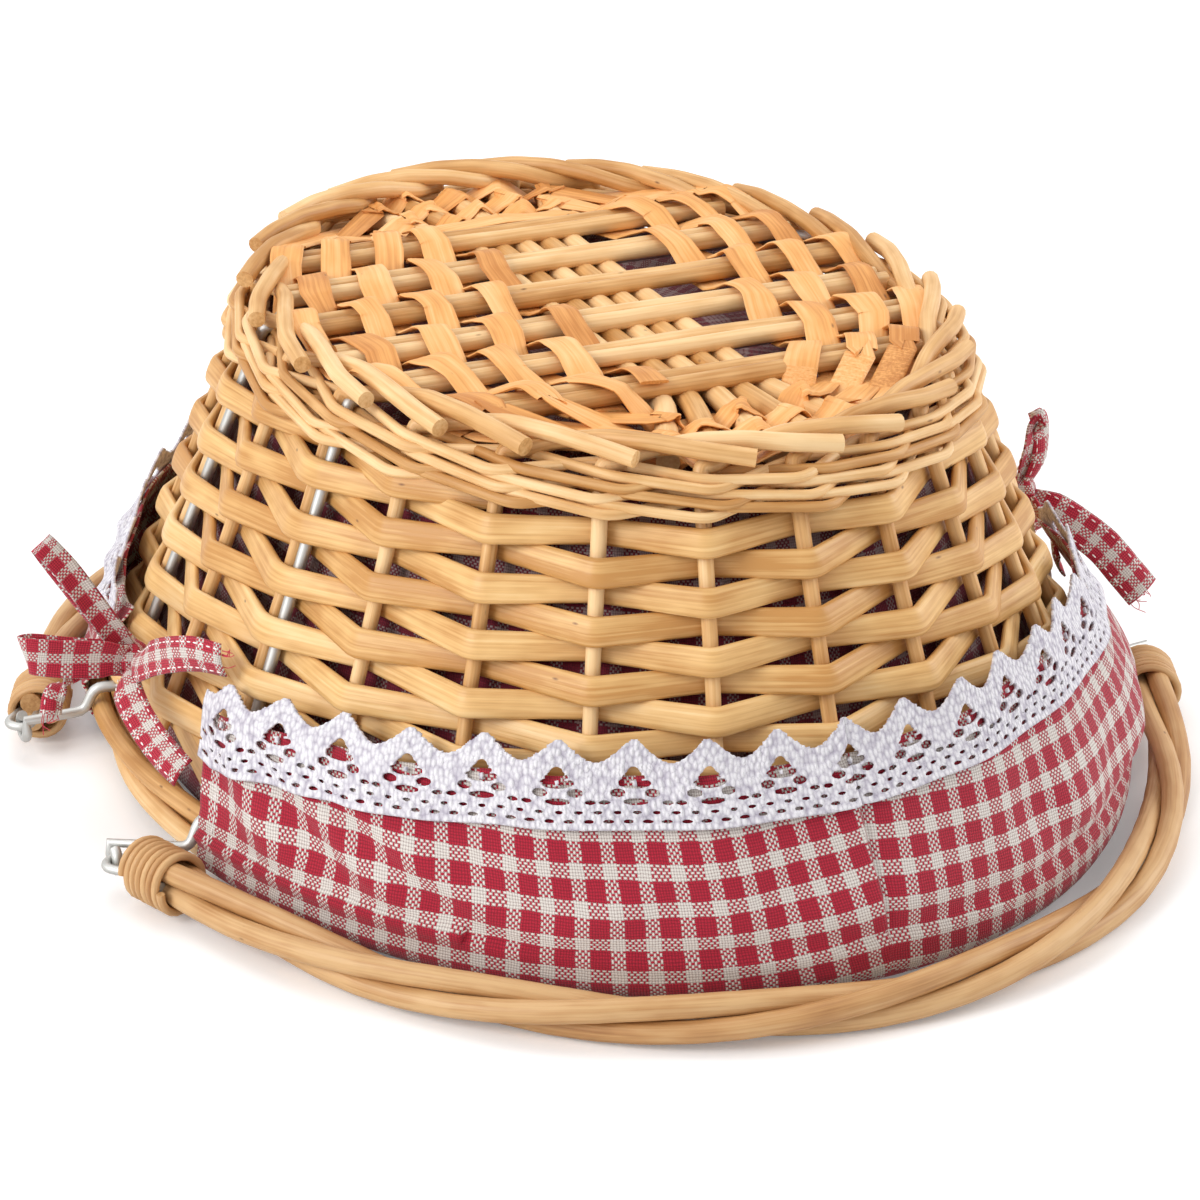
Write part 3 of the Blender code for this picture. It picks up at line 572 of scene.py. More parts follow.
class StitchTool(NodeTool):
    """Sets short rounded stitches along each strand."""

    def __init__(self) -> None:
        """Builds the tree."""
        super().__init__("running_stitches", {"Pitch": 0.003, "Stitch length": 0.002, "Thread": 0.0005})
        tree, given = self.tree, self.given.outputs
        inputs = {0: self.stroke(), "Length": given["Pitch"]}
        spots = add_node(tree, "GeometryNodeCurveToPoints", inputs, mode="LENGTH")
        bead = add_node(tree, "GeometryNodeMeshUVSphere", {"Segments": 6, "Rings": 4, "Radius": 0.5})
        thread = given["Thread"]
        size = add_node(tree, "ShaderNodeCombineXYZ", {0: thread, 1: thread, 2: given["Stitch length"]})
        inputs = {"Points": spots, "Instance": bead, "Rotation": spots.outputs["Rotation"], "Scale": size}
        self.close(add_node(tree, "GeometryNodeInstanceOnPoints", inputs))

    def sew(
        self, name: str, strands: Sequence[Strand], pitch: float, length: float, material: bpy.types.Material
    ) -> bpy.types.Object:
        """Sews stitches along strands.

        Args:
            name: Name of the new piece.
            strands: Lines of stitches.
            pitch: Distance from one stitch to the next.
            length: Length of one stitch.
            material: Finish of the thread.

        Returns:
            The new piece.
        """
        values = {"Pitch": pitch, "Stitch length": length, "Thread": 0.55 * MM, "Material": material}
        return self.run(name, strands, values)


# Meshes and how they join the frame


def linked(obj: bpy.types.Object) -> bpy.types.Object:
    """Puts an object in the scene."""
    bpy.context.scene.collection.objects.link(obj)
    return obj


def plain_mesh(obj: bpy.types.Object) -> bpy.types.Object:
    """Bakes an object's modifiers into its mesh.

    Args:
        obj: Object with modifiers.

    Returns:
        The same object, with a plain mesh and none.
    """
    graph = bpy.context.evaluated_depsgraph_get()
    made = bpy.data.meshes.new_from_object(
        obj.evaluated_get(graph), preserve_all_data_layers=True, depsgraph=graph
    )
    made.name = obj.name
    obj.modifiers.clear()
    obj.data = made
    return obj


def thickened(obj: bpy.types.Object, thick: float) -> bpy.types.Object:
    """Gives an open sheet its thickness, half to each side.

    Args:
        obj: The sheet.
        thick: Its thickness.

    Returns:
        The same object, closed.
    """
    solid = obj.modifiers.new("thickness", "SOLIDIFY")
    solid.thickness = thick
    solid.offset = 0.0
    solid.use_even_offset = False
    return plain_mesh(obj)


def woven_sheet(
    name: str,
    faces: tuple[int, int],
    size: Spot,
    place: Callable[[float, float], Vector],
    cyclic: bool = False,
    cloth: Callable[[float, float], Spot] | None = None,
) -> bpy.types.Object:
    """Open sheet of cloth with its own cloth coordinates in metres.

    Args:
        name: Name of the sheet.
        faces: Faces along it and up it.
        size: Length and height that the cloth coordinates cover.
        place: Where the point at two shares, along and up, lies.
        cyclic: Whether the sheet closes along its length.
        cloth: Cloth coordinates at two shares, where they aren't even.

    Returns:
        The sheet.
    """
    columns, rows = faces
    across = columns if cyclic else columns + 1
    points = [place(c / columns, r / rows) for r in range(rows + 1) for c in range(across)]
    squares, corners = [], []
    for row in range(rows):
        for column in range(columns):
            spots = ((column, row), (column + 1, row), (column + 1, row + 1), (column, row + 1))
            squares.append([r * across + c % across for c, r in spots])
            for c, r in spots:
                even = (c / columns * size[0], r / rows * size[1])
                corners += cloth(c / columns, r / rows) if cloth else even
    mesh = bpy.data.meshes.new(name)
    mesh.from_pydata(points, [], squares)
    mesh.uv_layers.new(name="cloth").data.foreach_set("uv", corners)
    mesh.shade_smooth()
    return linked(bpy.data.objects.new(name, mesh))


def sheet_area(obj: bpy.types.Object) -> float:
    """Area of an open sheet."""
    return sum(face.area for face in obj.data.polygons)


def dress(obj: bpy.types.Object, material: bpy.types.Material) -> bpy.types.Object:
    """Gives a piece its one material."""
    obj.data.materials.clear()
    obj.data.materials.append(material)
    return obj


def seat(obj: bpy.types.Object, body: str, slot: str, *nodes: str) -> bpy.types.Object:
    """Puts a piece on its body.

    Args:
        obj: The piece.
        body: Body that carries it.
        slot: Material slot that its finish belongs to; not used.
        nodes: Solids that it stands for.

    Returns:
        The piece.
    """
    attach(obj, body)
    if nodes:
        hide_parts(*nodes)
    LOG.info("%s: %d faces on %s", obj.name, len(obj.data.polygons), body)
    return obj


# Finishes


def linear(code: str) -> tuple[float, float, float, float]:
    """Turns an sRGB hex colour to linear.

    Args:
        code: Colour as #RRGGBB.

    Returns:
        Red, green, blue and alpha.
    """
    made = []
    for start in (1, 3, 5):
        value = int(code[start : start + 2], 16) / 255
        made.append(value / 12.92 if value <= 0.04045 else ((value + 0.055) / 1.055) ** 2.4)
    return (made[0], made[1], made[2], 1.0)


def new_material(name: str) -> tuple[bpy.types.Material, bpy.types.NodeTree, bpy.types.Node]:
    """Starts a material.

    Args:
        name: Common name of the finish.

    Returns:
        The material, its tree and its Principled shader.
    """
    material = bpy.data.materials.new(name)
    material.use_nodes = True
    return material, material.node_tree, material.node_tree.nodes["Principled BSDF"]


@dataclass(frozen=True)
class WillowFinish:
    """Willow, boiled and peeled, or split and shaved: pale streaky wood with a soft sheen.

    Streaks follow the rod's grain, each rod has a tone of its own, and small dark nicks
    sit where buds were.
    """

    name: str
    pale: str
    middle: str
    deep: str
    nick: str = "#6B4022"
    streak_width: float = 0.9 * MM
    streak_length: float = 38 * MM
    blotch: float = 22 * MM
    nick_width: float = 3.2 * MM
    nick_length: float = 9 * MM
    nick_size: float = 0.16
    streak_share: float = 0.62
    blotch_share: float = 0.60
    roughness: float = 0.50
    nicks: float = 0.10
    tone: float = 0.42

    def material(self) -> bpy.types.Material:
        """Builds the material on the grain that the sweep leaves on the mesh.

        Returns:
            The material.
        """
        material, tree, shader = new_material(self.name)
        grain = add_node(tree, "ShaderNodeAttribute", attribute_name="grain").outputs["Vector"]
        tone = add_node(tree, "ShaderNodeAttribute", attribute_name="tone").outputs["Fac"]
        stretch = (1 / self.streak_length, 1 / self.streak_width, 1 / self.streak_width)
        drawn = add_node(tree, "ShaderNodeVectorMath", {0: grain, 1: stretch}, operation="MULTIPLY")
        streak = add_node(tree, "ShaderNodeTexNoise", {"Vector": drawn, "Scale": 1.0, "Detail": 4.0})
        stretch = (1 / self.blotch, 3 / self.blotch, 3 / self.blotch)
        wide = add_node(tree, "ShaderNodeVectorMath", {0: grain, 1: stretch}, operation="MULTIPLY")
        blotch = add_node(tree, "ShaderNodeTexNoise", {"Vector": wide, "Scale": 1.0, "Detail": 2.0})
        shade = -self.tone / 2
        for source, share in ((tone, self.tone), (streak, self.streak_share), (blotch, self.blotch_share)):
            inputs = {0: source, 1: share, 2: shade}
            shade = add_node(tree, "ShaderNodeMath", inputs, operation="MULTIPLY_ADD")
        ramp = add_node(tree, "ShaderNodeValToRGB", {"Fac": shade})
        pale, deep = ramp.color_ramp.elements
        pale.position, pale.color = 0.38, linear(self.pale)
        deep.position, deep.color = 0.88, linear(self.deep)
        ramp.color_ramp.elements.new(0.62).color = linear(self.middle)
        feed(shader, {"Base Color": self._nicked(tree, grain, ramp), "Roughness": self.roughness, "IOR": 1.5})
        inputs = {"Height": streak, "Strength": 0.55, "Distance": 0.35 * MM}
        feed(shader, {"Normal": add_node(tree, "ShaderNodeBump", inputs)})
        return material

    def _nicked(
        self, tree: bpy.types.NodeTree, grain: bpy.types.NodeSocket, wood: bpy.types.Node
    ) -> bpy.types.Node:
        """Adds the dark nicks.

        Args:
            tree: The material's tree.
            grain: Place along and across the grain.
            wood: Node with the wood's colour.

        Returns:
            Node with the colour with nicks.
        """
        stretch = (1 / self.nick_length, 1 / self.nick_width, 1 / self.nick_width)
        spread = add_node(tree, "ShaderNodeVectorMath", {0: grain, 1: stretch}, operation="MULTIPLY")
        cells = add_node(tree, "ShaderNodeTexVoronoi", {"Vector": spread, "Scale": 1.0})
        inputs = {"Value": cells, "From Max": self.nick_size, "To Min": 1.0, "To Max": 0.0}
        small = add_node(tree, "ShaderNodeMapRange", inputs)
        apart = add_node(tree, "ShaderNodeSeparateColor", {0: cells.outputs["Color"]})
        few = add_node(tree, "ShaderNodeMath", {0: apart, 1: self.nicks}, operation="LESS_THAN")
        share = add_node(tree, "ShaderNodeMath", {0: small, 1: few}, operation="MULTIPLY")
        inputs = {"Factor": share, 6: wood, 7: linear(self.nick)}
        return add_node(tree, "ShaderNodeMix", inputs, data_type="RGBA")


@dataclass(frozen=True)
class GinghamFinish:
    """Yarn dyed cotton gingham in an open plain weave.

    Every thread is cut from the cloth's own coordinates. Each crossing shows the thread on
    top as a plump float, the other thread round it and a pinhole of painted shade at the
    corners, so that the mixed checks break up into dashes as they do in the real cloth.
    Each float is painted with shade towards its edges.
    """

    name: str
    check: float = 5.4 * MM
    thread: float = 0.9 * MM
    red_share: float = 0.575
    slub: float = 0.8 * MM
    float_length: float = 0.66
    float_width: float = 0.40
    red: str = "#BE253B"
    # Colours for the shaded edges of each float: painted shade
    red_shaded: str = "#87172A"
    white: str = "#EAE4DD"
    white_shaded: str = "#B9ADA6"
    # Pinholes between the threads: painted shade
    hole: str = "#5A2A30"
    roughness: float = 0.88

    def material(self) -> bpy.types.Material:
        """Builds the material on the cloth coordinates.

        Returns:
            The material.
        """
        material, tree, shader = new_material(self.name)
        cloth = add_node(tree, "ShaderNodeUVMap", uv_map="cloth")
        waver = add_node(tree, "ShaderNodeTexNoise", {"Vector": cloth, "Scale": 240.0, "Detail": 2.0})
        inputs = {0: waver.outputs["Color"], 1: (0.5, 0.5, 0.5)}
        centred = add_node(tree, "ShaderNodeVectorMath", inputs, operation="SUBTRACT")
        slub = add_node(tree, "ShaderNodeVectorMath", {0: centred, "Scale": self.slub}, operation="SCALE")
        moved = add_node(tree, "ShaderNodeVectorMath", {0: cloth, 1: slub}, operation="ADD")
        axes = add_node(tree, "ShaderNodeSeparateXYZ", {0: moved})
        warp_dye, warp_count, warp_spot = self._threads(tree, axes.outputs[0])
        weft_dye, weft_count, weft_spot = self._threads(tree, axes.outputs[1])
        summed = add_node(tree, "ShaderNodeMath", {0: warp_count, 1: weft_count}, operation="ADD")
        halved = add_node(tree, "ShaderNodeMath", {0: summed, 1: 0.5}, operation="MULTIPLY")
        odd = add_node(tree, "ShaderNodeMath", {0: halved}, operation="FRACT")
        weft_over = add_node(tree, "ShaderNodeMath", {0: odd, 1: 0.25}, operation="GREATER_THAN")
        dyes, spots = (warp_dye, weft_dye), (warp_spot, weft_spot)
        above, below, along, across = (
            add_node(tree, "ShaderNodeMix", {"Factor": weft_over, 2: pair[0], 3: pair[1]})
            for pair in (dyes, dyes[::-1], spots[::-1], spots)
        )
        inputs = {0: along, 1: self.float_length}
        long_share = add_node(tree, "ShaderNodeMath", inputs, operation="DIVIDE")
        inputs = {0: across, 1: self.float_width}
        wide_share = add_node(tree, "ShaderNodeMath", inputs, operation="DIVIDE")
        apart = add_node(tree, "ShaderNodeCombineXYZ", {0: long_share, 1: wide_share})
        far = add_node(tree, "ShaderNodeVectorMath", {0: apart}, operation="LENGTH")
        inputs = {"Value": far, "From Min": 0.86, "From Max": 1.06, "To Min": 1.0, "To Max": 0.0}
        on_top = add_node(tree, "ShaderNodeMapRange", inputs)
        dyed = add_node(tree, "ShaderNodeMix", {"Factor": on_top, 2: below, 3: above})
        # Each float is lighter at its crown and darker towards its edges: painted shade; the same height
        # drives the bump
        inputs = {"Value": far, "From Min": 0.1, "From Max": 1.25, "To Min": 1.0, "To Max": 0.0}
        high = add_node(tree, "ShaderNodeMapRange", inputs)
        shades = []
        for deep, bright in ((self.white_shaded, self.white), (self.red_shaded, self.red)):
            inputs = {"Factor": high, 6: linear(deep), 7: linear(bright)}
            shades.append(add_node(tree, "ShaderNodeMix", inputs, data_type="RGBA"))
        inputs = {"Factor": dyed, 6: shades[0], 7: shades[1]}
        colour = add_node(tree, "ShaderNodeMix", inputs, data_type="RGBA")
        # Dark pinholes at the corners between threads: painted shade
        corner = add_node(tree, "ShaderNodeMath", {0: warp_spot, 1: weft_spot}, operation="MINIMUM")
        inputs = {"Value": corner, "From Min": 0.36, "From Max": 0.46, "To Max": 0.85}
        inputs = {"Factor": add_node(tree, "ShaderNodeMapRange", inputs), 6: colour, 7: linear(self.hole)}
        pierced = add_node(tree, "ShaderNodeMix", inputs, data_type="RGBA")
        bump = add_node(tree, "ShaderNodeBump", {"Height": high, "Strength": 0.5, "Distance": 0.3 * MM})
        feed(shader, {"Base Color": pierced, "Normal": bump, "Roughness": self.roughness})
        feed(shader, {"Sheen Weight": 0.2, "Sheen Roughness": 0.5, "Specular IOR Level": 0.25})
        return material

    def _threads(
        self, tree: bpy.types.NodeTree, place: bpy.types.NodeSocket
    ) -> tuple[bpy.types.Node, bpy.types.Node, bpy.types.Node]:
        """Counts the threads of one set.

        Args:
            tree: The material's tree.
            place: Place across the threads.

        Returns:
            Whether the thread here is red, its number, and the distance from its middle in pitches.
        """
        paired = add_node(tree, "ShaderNodeMath", {0: place, 1: 2 * self.check}, operation="DIVIDE")
        inside = add_node(tree, "ShaderNodeMath", {0: paired}, operation="FRACT")
        red = add_node(tree, "ShaderNodeMath", {0: inside, 1: self.red_share}, operation="LESS_THAN")
        threads = add_node(tree, "ShaderNodeMath", {0: place, 1: self.thread}, operation="DIVIDE")
        count = add_node(tree, "ShaderNodeMath", {0: threads}, operation="FLOOR")
        share = add_node(tree, "ShaderNodeMath", {0: threads}, operation="FRACT")
        off = add_node(tree, "ShaderNodeMath", {0: share, 1: 0.5}, operation="SUBTRACT")
        return red, count, add_node(tree, "ShaderNodeMath", {0: off}, operation="ABSOLUTE")


@dataclass(frozen=True)
class CrochetFinish:
    """Bleached mercerised cotton, crocheted: white loops of thread, with painted shade in the hollows
    between.
    """

    name: str
    white: str = "#EAE7EB"
    # Colour of the hollows between the loops: painted shade
    hollow_shade: str = "#AFA8B6"
    loop: float = 1.3 * MM
    loop_length: float = 0.62

    def material(self) -> bpy.types.Material:
        """Builds the material on the lace's own coordinates.

        Returns:
            The material.
        """
        material, tree, shader = new_material(self.name)
        cloth = add_node(tree, "ShaderNodeUVMap", uv_map="cloth")
        inputs = {0: cloth, 1: (1 / self.loop, self.loop_length / self.loop, 1.0)}
        scaled = add_node(tree, "ShaderNodeVectorMath", inputs, operation="MULTIPLY")
        loops = add_node(tree, "ShaderNodeTexVoronoi", {"Vector": scaled, "Scale": 1.0, "Randomness": 0.75})
        thread = add_node(tree, "ShaderNodeTexNoise", {"Vector": cloth, "Scale": 2400.0, "Detail": 2.0})
        # The ramp darkens the hollows between the loops: painted shade
        ramp = add_node(tree, "ShaderNodeValToRGB", {"Fac": loops})
        white, hollow_shade = ramp.color_ramp.elements
        white.position, white.color = 0.35, linear(self.white)
        hollow_shade.position, hollow_shade.color = 0.90, linear(self.hollow_shade)
        high = add_node(tree, "ShaderNodeMath", {0: thread, 1: 0.35, 2: 0.0}, operation="MULTIPLY_ADD")
        raised = add_node(tree, "ShaderNodeMath", {0: high, 1: loops}, operation="SUBTRACT")
        bump = add_node(tree, "ShaderNodeBump", {"Height": raised, "Strength": 1.0, "Distance": 0.9 * MM})
        feed(shader, {"Base Color": ramp, "Normal": bump, "Roughness": 0.85, "Specular IOR Level": 0.25})
        return material


@dataclass(frozen=True)
class ThreadFinish:
    """Plain cotton sewing thread: matt, one colour, with a faint twist."""

    name: str
    colour: str

    def material(self) -> bpy.types.Material:
        """Builds the material.

        Returns:
            The material.
        """
        material, tree, shader = new_material(self.name)
        spot = add_node(tree, "ShaderNodeTexCoord")
        fuzz = add_node(tree, "ShaderNodeTexNoise", {"Vector": spot.outputs["Object"], "Scale": 3000.0})
        bump = add_node(tree, "ShaderNodeBump", {"Height": fuzz, "Strength": 0.3, "Distance": 0.1 * MM})
        feed(shader, {"Normal": bump, "Base Color": linear(self.colour), "Roughness": 0.8})
        return material


@dataclass(frozen=True)
class WireFinish:
    """Galvanised steel wire, drawn and dipped: dull grey, with soft patches and fine draw lines."""

    name: str
    bright: str = "#D6D6D3"
    dull: str = "#B4B4B0"
    roughness: float = 0.52

    def material(self) -> bpy.types.Material:
        """Builds the material on the wire's own grain.

        Returns:
            The material.
        """
        material, tree, shader = new_material(self.name)
        grain = add_node(tree, "ShaderNodeAttribute", attribute_name="grain").outputs["Vector"]
        inputs = {0: grain, 1: (90.0, 1400.0, 1400.0)}
        drawn = add_node(tree, "ShaderNodeVectorMath", inputs, operation="MULTIPLY")
        lines = add_node(tree, "ShaderNodeTexNoise", {"Vector": drawn, "Scale": 1.0, "Detail": 3.0})
        inputs = {"Factor": lines, 6: linear(self.dull), 7: linear(self.bright)}
        colour = add_node(tree, "ShaderNodeMix", inputs, data_type="RGBA")
        inputs = {"Value": lines, "To Min": self.roughness - 0.08, "To Max": self.roughness + 0.12}
        rough = add_node(tree, "ShaderNodeMapRange", inputs)
        bump = add_node(tree, "ShaderNodeBump", {"Height": lines, "Strength": 0.25, "Distance": 0.1 * MM})
        feed(shader, {"Base Color": colour, "Roughness": rough, "Normal": bump, "Metallic": 1.0})
        return material


@dataclass
class Workshop:
    """The tools and finishes that every sub-assembly draws on."""

    sweep: SweepTool = field(default_factory=SweepTool)
    stitches: StitchTool = field(default_factory=StitchTool)

    def __post_init__(self) -> None:
        """Mixes the finishes."""
        # Peeled willow rod: smooth and pale, with slow changes of tone. The handle's copy is darker all over:
        # painted shade
        self.handle = WillowFinish("buff_willow_handle", "#D1A875", "#BC8C58", "#986638").material()
        self.rod = WillowFinish("buff_willow_rod", "#F0CB96", "#DDAE72", "#BC8648").material()
        # Flat weavers, shaved on their inner face: a touch lighter and glossier
        self.weaver = WillowFinish(
            "shaved_willow_weaver", "#F3D19A", "#E5B878", "#C38C4B", roughness=0.44, nicks=0.07
        ).material()
        # Thin split skeins of the base: drier and more orange
        self.skein = WillowFinish(
            "split_willow_skein", "#F5C386", "#E9A85F", "#C47F3B", roughness=0.56, nicks=0.04, tone=0.5
        ).material()
        # Galvanised wire of the hinges and the handles' core
        self.wire = WireFinish("galvanised_wire").material()
        # Cotton gingham of skirt and bows
        self.gingham = GinghamFinish("cotton_gingham").material()
        self.ribbon = GinghamFinish("ribbon_gingham", check=4 * MM, thread=0.8 * MM, red="#D4344A").material()
        # The lining is seen in shade through the weave, so it gets a darkened gingham: painted shade
        self.lining = GinghamFinish(
            "lining_gingham_painted_shade", red="#7E1F31", red_shaded="#5C1424", white="#A8918F", white_shaded="#836B6A"
        ).material()
        # White crochet edging
        self.lace = CrochetFinish("crochet_cotton").material()
        # Sewing thread and loose threads
        self.white_thread = ThreadFinish("white_thread", "#F6F1EE").material()
        self.red_thread = ThreadFinish("red_thread", "#C23A4C").material()


# Sub-assemblies of the basket's body


@dataclass
class MouthBorder:
    """Three rods laid up like a rope round the mouth."""

    rod_radius: float = 0.0034
    rods: int = 3
    height: float = 0.0130
    turns: int = 6
    seen_turns: int = 3
    steps: int = 48

    @property
    def circle(self) -> float:
        """Radius of the rods' lay."""
        chord = math.cos(TURN / 2 * self.turns / self.steps)
        return (self.rod_radius + GAP / 2) / math.sin(TURN / 2 / self.rods) / chord

    @property
    def outer(self) -> float:
        """Radius of the whole border."""
        return self.circle + self.rod_radius

    def strands(self) -> list[Strand]:
        """Rings of the border's rods.

        Returns:
            The rings.
        """
        made = []
        fine = 5 * self.steps
        for rod in range(self.rods):
            points = []
            for step in range(fine):
                angle = TURN * step / fine
                lay = self.seen_turns * angle + TURN * rod / self.rods
                middle = WALL.point(angle, self.height, self.circle * math.cos(lay))
                points.append(Vector((middle.x, middle.y, self.height + self.circle * math.sin(lay))))
            made.append(Strand(wandering(points, 0.5 * MM, 0.03, rod), cyclic=True))
        return made

    def build(self, shop: Workshop) -> None:
        """Lays the border.

        Args:
            shop: Tools and finishes.
        """
        section = round_section(self.rod_radius)
        piece = shop.sweep.lay("mouth_border", self.strands(), section, shop.rod, seed=11)
        seat(piece, "basket", "buff_willow", *[f"rim_rod_{k + 1}" for k in range(self.rods)])


@dataclass
class Stakes:
    """Upright stakes, each bent over at the top to make its share of the foot border."""

    border: MouthBorder
    radius: float = 0.0025
    border_height: float = 0.152
    reach_spaces: float = 2.50
    slim: float = 0.94
    # Spaces along the border (0 for its end), offset and height in mm
    stations: Route = (
        (0.10, -1.5, 149.0), (0.45, -8.2, 151.4), (1.0, -8.0, 154.8),
        (1.5, -4.2, 155.8), (2.0, 0.6, 154.9), (0.0, 3.8, 153.2),
    )

    def strand(self, number: int) -> Strand:
        """Line of one stake.

        Args:
            number: Which stake, counted from the right end.

        Returns:
            The stake, with thicker wood towards its butt end.
        """
        rng = random.Random(100 + number)
        angle = number * WALL.space
        foot = self.border.height + self.border.outer + GAP
        bend = self.border_height - self.radius
        points = [WALL.point(angle, foot), WALL.point(angle, (foot + bend) / 2), WALL.point(angle, bend)]
        reach = self.reach_spaces + rng.uniform(-0.22, 0.06)
        for spaces, offset, height in self.stations:
            flare = WALL.point(angle + (spaces or reach) * WALL.space, WALL.base_height, offset * MM)
            points.append(Vector((flare.x, flare.y, height * MM)))
        points = rounded(points, 0.0036, steps=4)
        total = line_length(points)
        done, girths, last = 0.0, [], points[0]
        thick = rng.uniform(1.08, 1.22)
        for point in points:
            done += (point - last).length
            last = point
            girths.append(self.slim + (thick - self.slim) * unit(4.0 * done / total - 2.2))
        return Strand(wandering(points, 0.45 * MM, 0.02, number), girths=girths)

    def build(self, shop: Workshop) -> None:
        """Lays every stake with its border end.

        Args:
            shop: Tools and finishes.
        """
        strands = [self.strand(number) for number in range(WALL.stakes)]
        section = round_section(self.radius)
        piece = shop.sweep.lay("stakes_and_foot_border", strands, section, shop.rod, seed=3)
        nodes = [f"stake_{number + 1:02d}" for number in range(WALL.stakes)]
        seat(piece, "basket", "buff_willow", *nodes)

    def wired(self) -> tuple[int, ...]:
        """Numbers of the stakes that have a hinge wire beside them."""
        half = WALL.stakes // 2
        return (1, half - 1, half + 1, WALL.stakes - 1)


@dataclass
class SideWeave:
    """Flat weavers, worked two at a time in and out of the stakes."""

    stakes: Stakes
    wire_radius: float = 0.0017
    width: float = 0.0073
    thick: float = 0.0030
    row_pitch: float = 0.0080
    first_row: float = 0.0303
    lowest: float = 0.0248
    highest: float = 0.1334
    joint_spaces: float = 0.03
    more: int = 12

    def passing(self, number: int, height: float, offset: float, rise: float) -> list[Spot]:
        """Where a weaver passes a stake.

        Args:
            number: Which crossing.
            height: Height of the weaver there.
            offset: Its offset there.
            rise: Height gained from one stake to the next.

        Returns:
            One angle and height, or two where a hinge wire stands beside the stake.
        """
        angle = number * WALL.space
        if number % WALL.stakes not in self.stakes.wired():
            return [(angle, height)]
        reach = self.stakes.radius / 3
        lead = WALL.angle_of(angle, reach, height)
        far = self.stakes.radius + self.wire_radius + GAP + reach
        beyond = WALL.angle_of(angle, far, height)
        return [
            (angle - lead, height - rise * lead / WALL.space),
            (angle + beyond, height + rise * beyond / WALL.space),
        ]

    def strand(self, first: int, last: int, start: int, inside: int, seed: int) -> Strand:
        """Line of one weaver.

        Args:
            first: Its first crossing.
            last: Its last crossing.
            start: Crossing at which it is at the first row's height.
            inside: Whether it is inside at even or odd crossings.
            seed: Which small slips it takes.

        Returns:
            The weaver.
        """
        rng = random.Random(seed)
        rise = 2 * self.row_pitch / WALL.stakes
        clear = (self.stakes.radius + self.thick / 2 + 2 * GAP) / WALL.lean_cosine
        points: Line = []
        for crossing in range(first, last + 1):
            height = self.first_row + rise * (crossing - start)
            height = min(max(height, self.lowest), self.highest) + rng.uniform(-0.4, 0.4) * MM
            offset = -clear if crossing % 2 == inside else clear
            spots = self.passing(crossing, height, offset, rise)
            nudge = self.joint_spaces * WALL.space
            if crossing == first:
                spots = [(spots[0][0] + nudge, height)] if len(spots) == 1 else spots[1:]
            if crossing == last:
                spots = [(spots[0][0] - nudge, height)] if len(spots) == 1 else spots[:1]
            points += [WALL.point(angle, high, offset) for angle, high in spots]
        points = rounded(points, 0.0028, steps=4)
        sides, girths = [], []
        for point, way in zip(points, tangents(points, cyclic=False)):
            angle = math.atan2(point.y / WALL.base_half_length, point.x / WALL.base_half_width)
            sides.append(square_to(way, WALL.outward(angle, point.z)))
            width, length = WALL.halves(point.z)
            across = math.hypot(point.x / width, point.y / length)
            standing = max(min((across - 1.0) * WALL.base_half_length / clear, 1.0), -1.0)
            girths.append(1.02 + 0.07 * standing + 0.06 * drift(point, 0.02, seed))
        return Strand(points, sides=sides, girths=girths)

    def build(self, shop: Workshop) -> None:
        """Weaves the side.

        Args:
            shop: Tools and finishes.
        """
        half = WALL.stakes // 2
        reach = 3 * WALL.stakes + 4
        strands, nodes = [], []
        for letter, first, inside, start in (("a", 1, 1, 0), ("b", half + 2, 0, half)):
            for part in (1, 2):
                begin = first + (part - 1) * reach - (self.more if part == 1 else 0)
                end = first + part * reach + (self.more // 2 if part == 2 and letter == "a" else 0)
                strands.append(self.strand(begin, end, start, inside, 20 + len(strands)))
                nodes.append(f"side_weaver_{letter}{part}")
        section = Section(self.width + 1.2 * MM, self.thick + 0.2 * MM, squareness=0.68, corners=16)
        piece = shop.sweep.lay("side_weave", strands, section, shop.weaver, seed=5)
        seat(piece, "basket", "buff_willow", *nodes)


@dataclass
class FootWale:
    """Thin rods worked together just under the foot border."""

    stakes: Stakes
    radius: float = 0.0018
    pitch: float = 0.0039
    low: float = 0.1366
    rounds: int = 3
    rods: int = 3
    stroke: int = 3

    def strand(self, rod: int) -> Strand:
        """Line of one rod of the wale.

        Args:
            rod: Which rod.

        Returns:
            The rod, worked for all its rounds.
        """
        rng = random.Random(60 + rod)
        clear = (self.stakes.radius + self.radius + 1.5 * GAP) / WALL.lean_cosine
        rise = self.pitch / WALL.stakes
        points: Line = []
        for crossing in range(self.rounds * WALL.stakes + 1):
            beat = (crossing + crossing // WALL.stakes + rod) % self.stroke
            offset = (-clear, clear + 0.2 * MM, clear + 2.0 * MM)[beat]
            slant = (0.8, 1.1, -1.4)[beat] * MM + rng.uniform(-0.5, 0.5) * MM
            angle = (crossing + rod * 0.12) * WALL.space
            height = self.low + rise * crossing * (1 - 0.05 * rod)
            points.append(WALL.point(angle, height + slant, offset))
        points = rounded(points, 0.0045, steps=4)
        girths = [1.0 + 0.14 * drift(point, 0.06, rod) for point in points]
        return Strand(wandering(points, 0.6 * MM, 0.03, 60 + rod), girths=girths)

    def build(self, shop: Workshop) -> None:
        """Works the wale.

        Args:
            shop: Tools and finishes.
        """
        section = round_section(self.radius - 0.15 * MM, corners=10)
        strands = [self.strand(rod) for rod in range(self.rods)]
        piece = shop.sweep.lay("foot_wale", strands, section, shop.rod, seed=8)
        seat(piece, "basket", "buff_willow", "foot_wale")


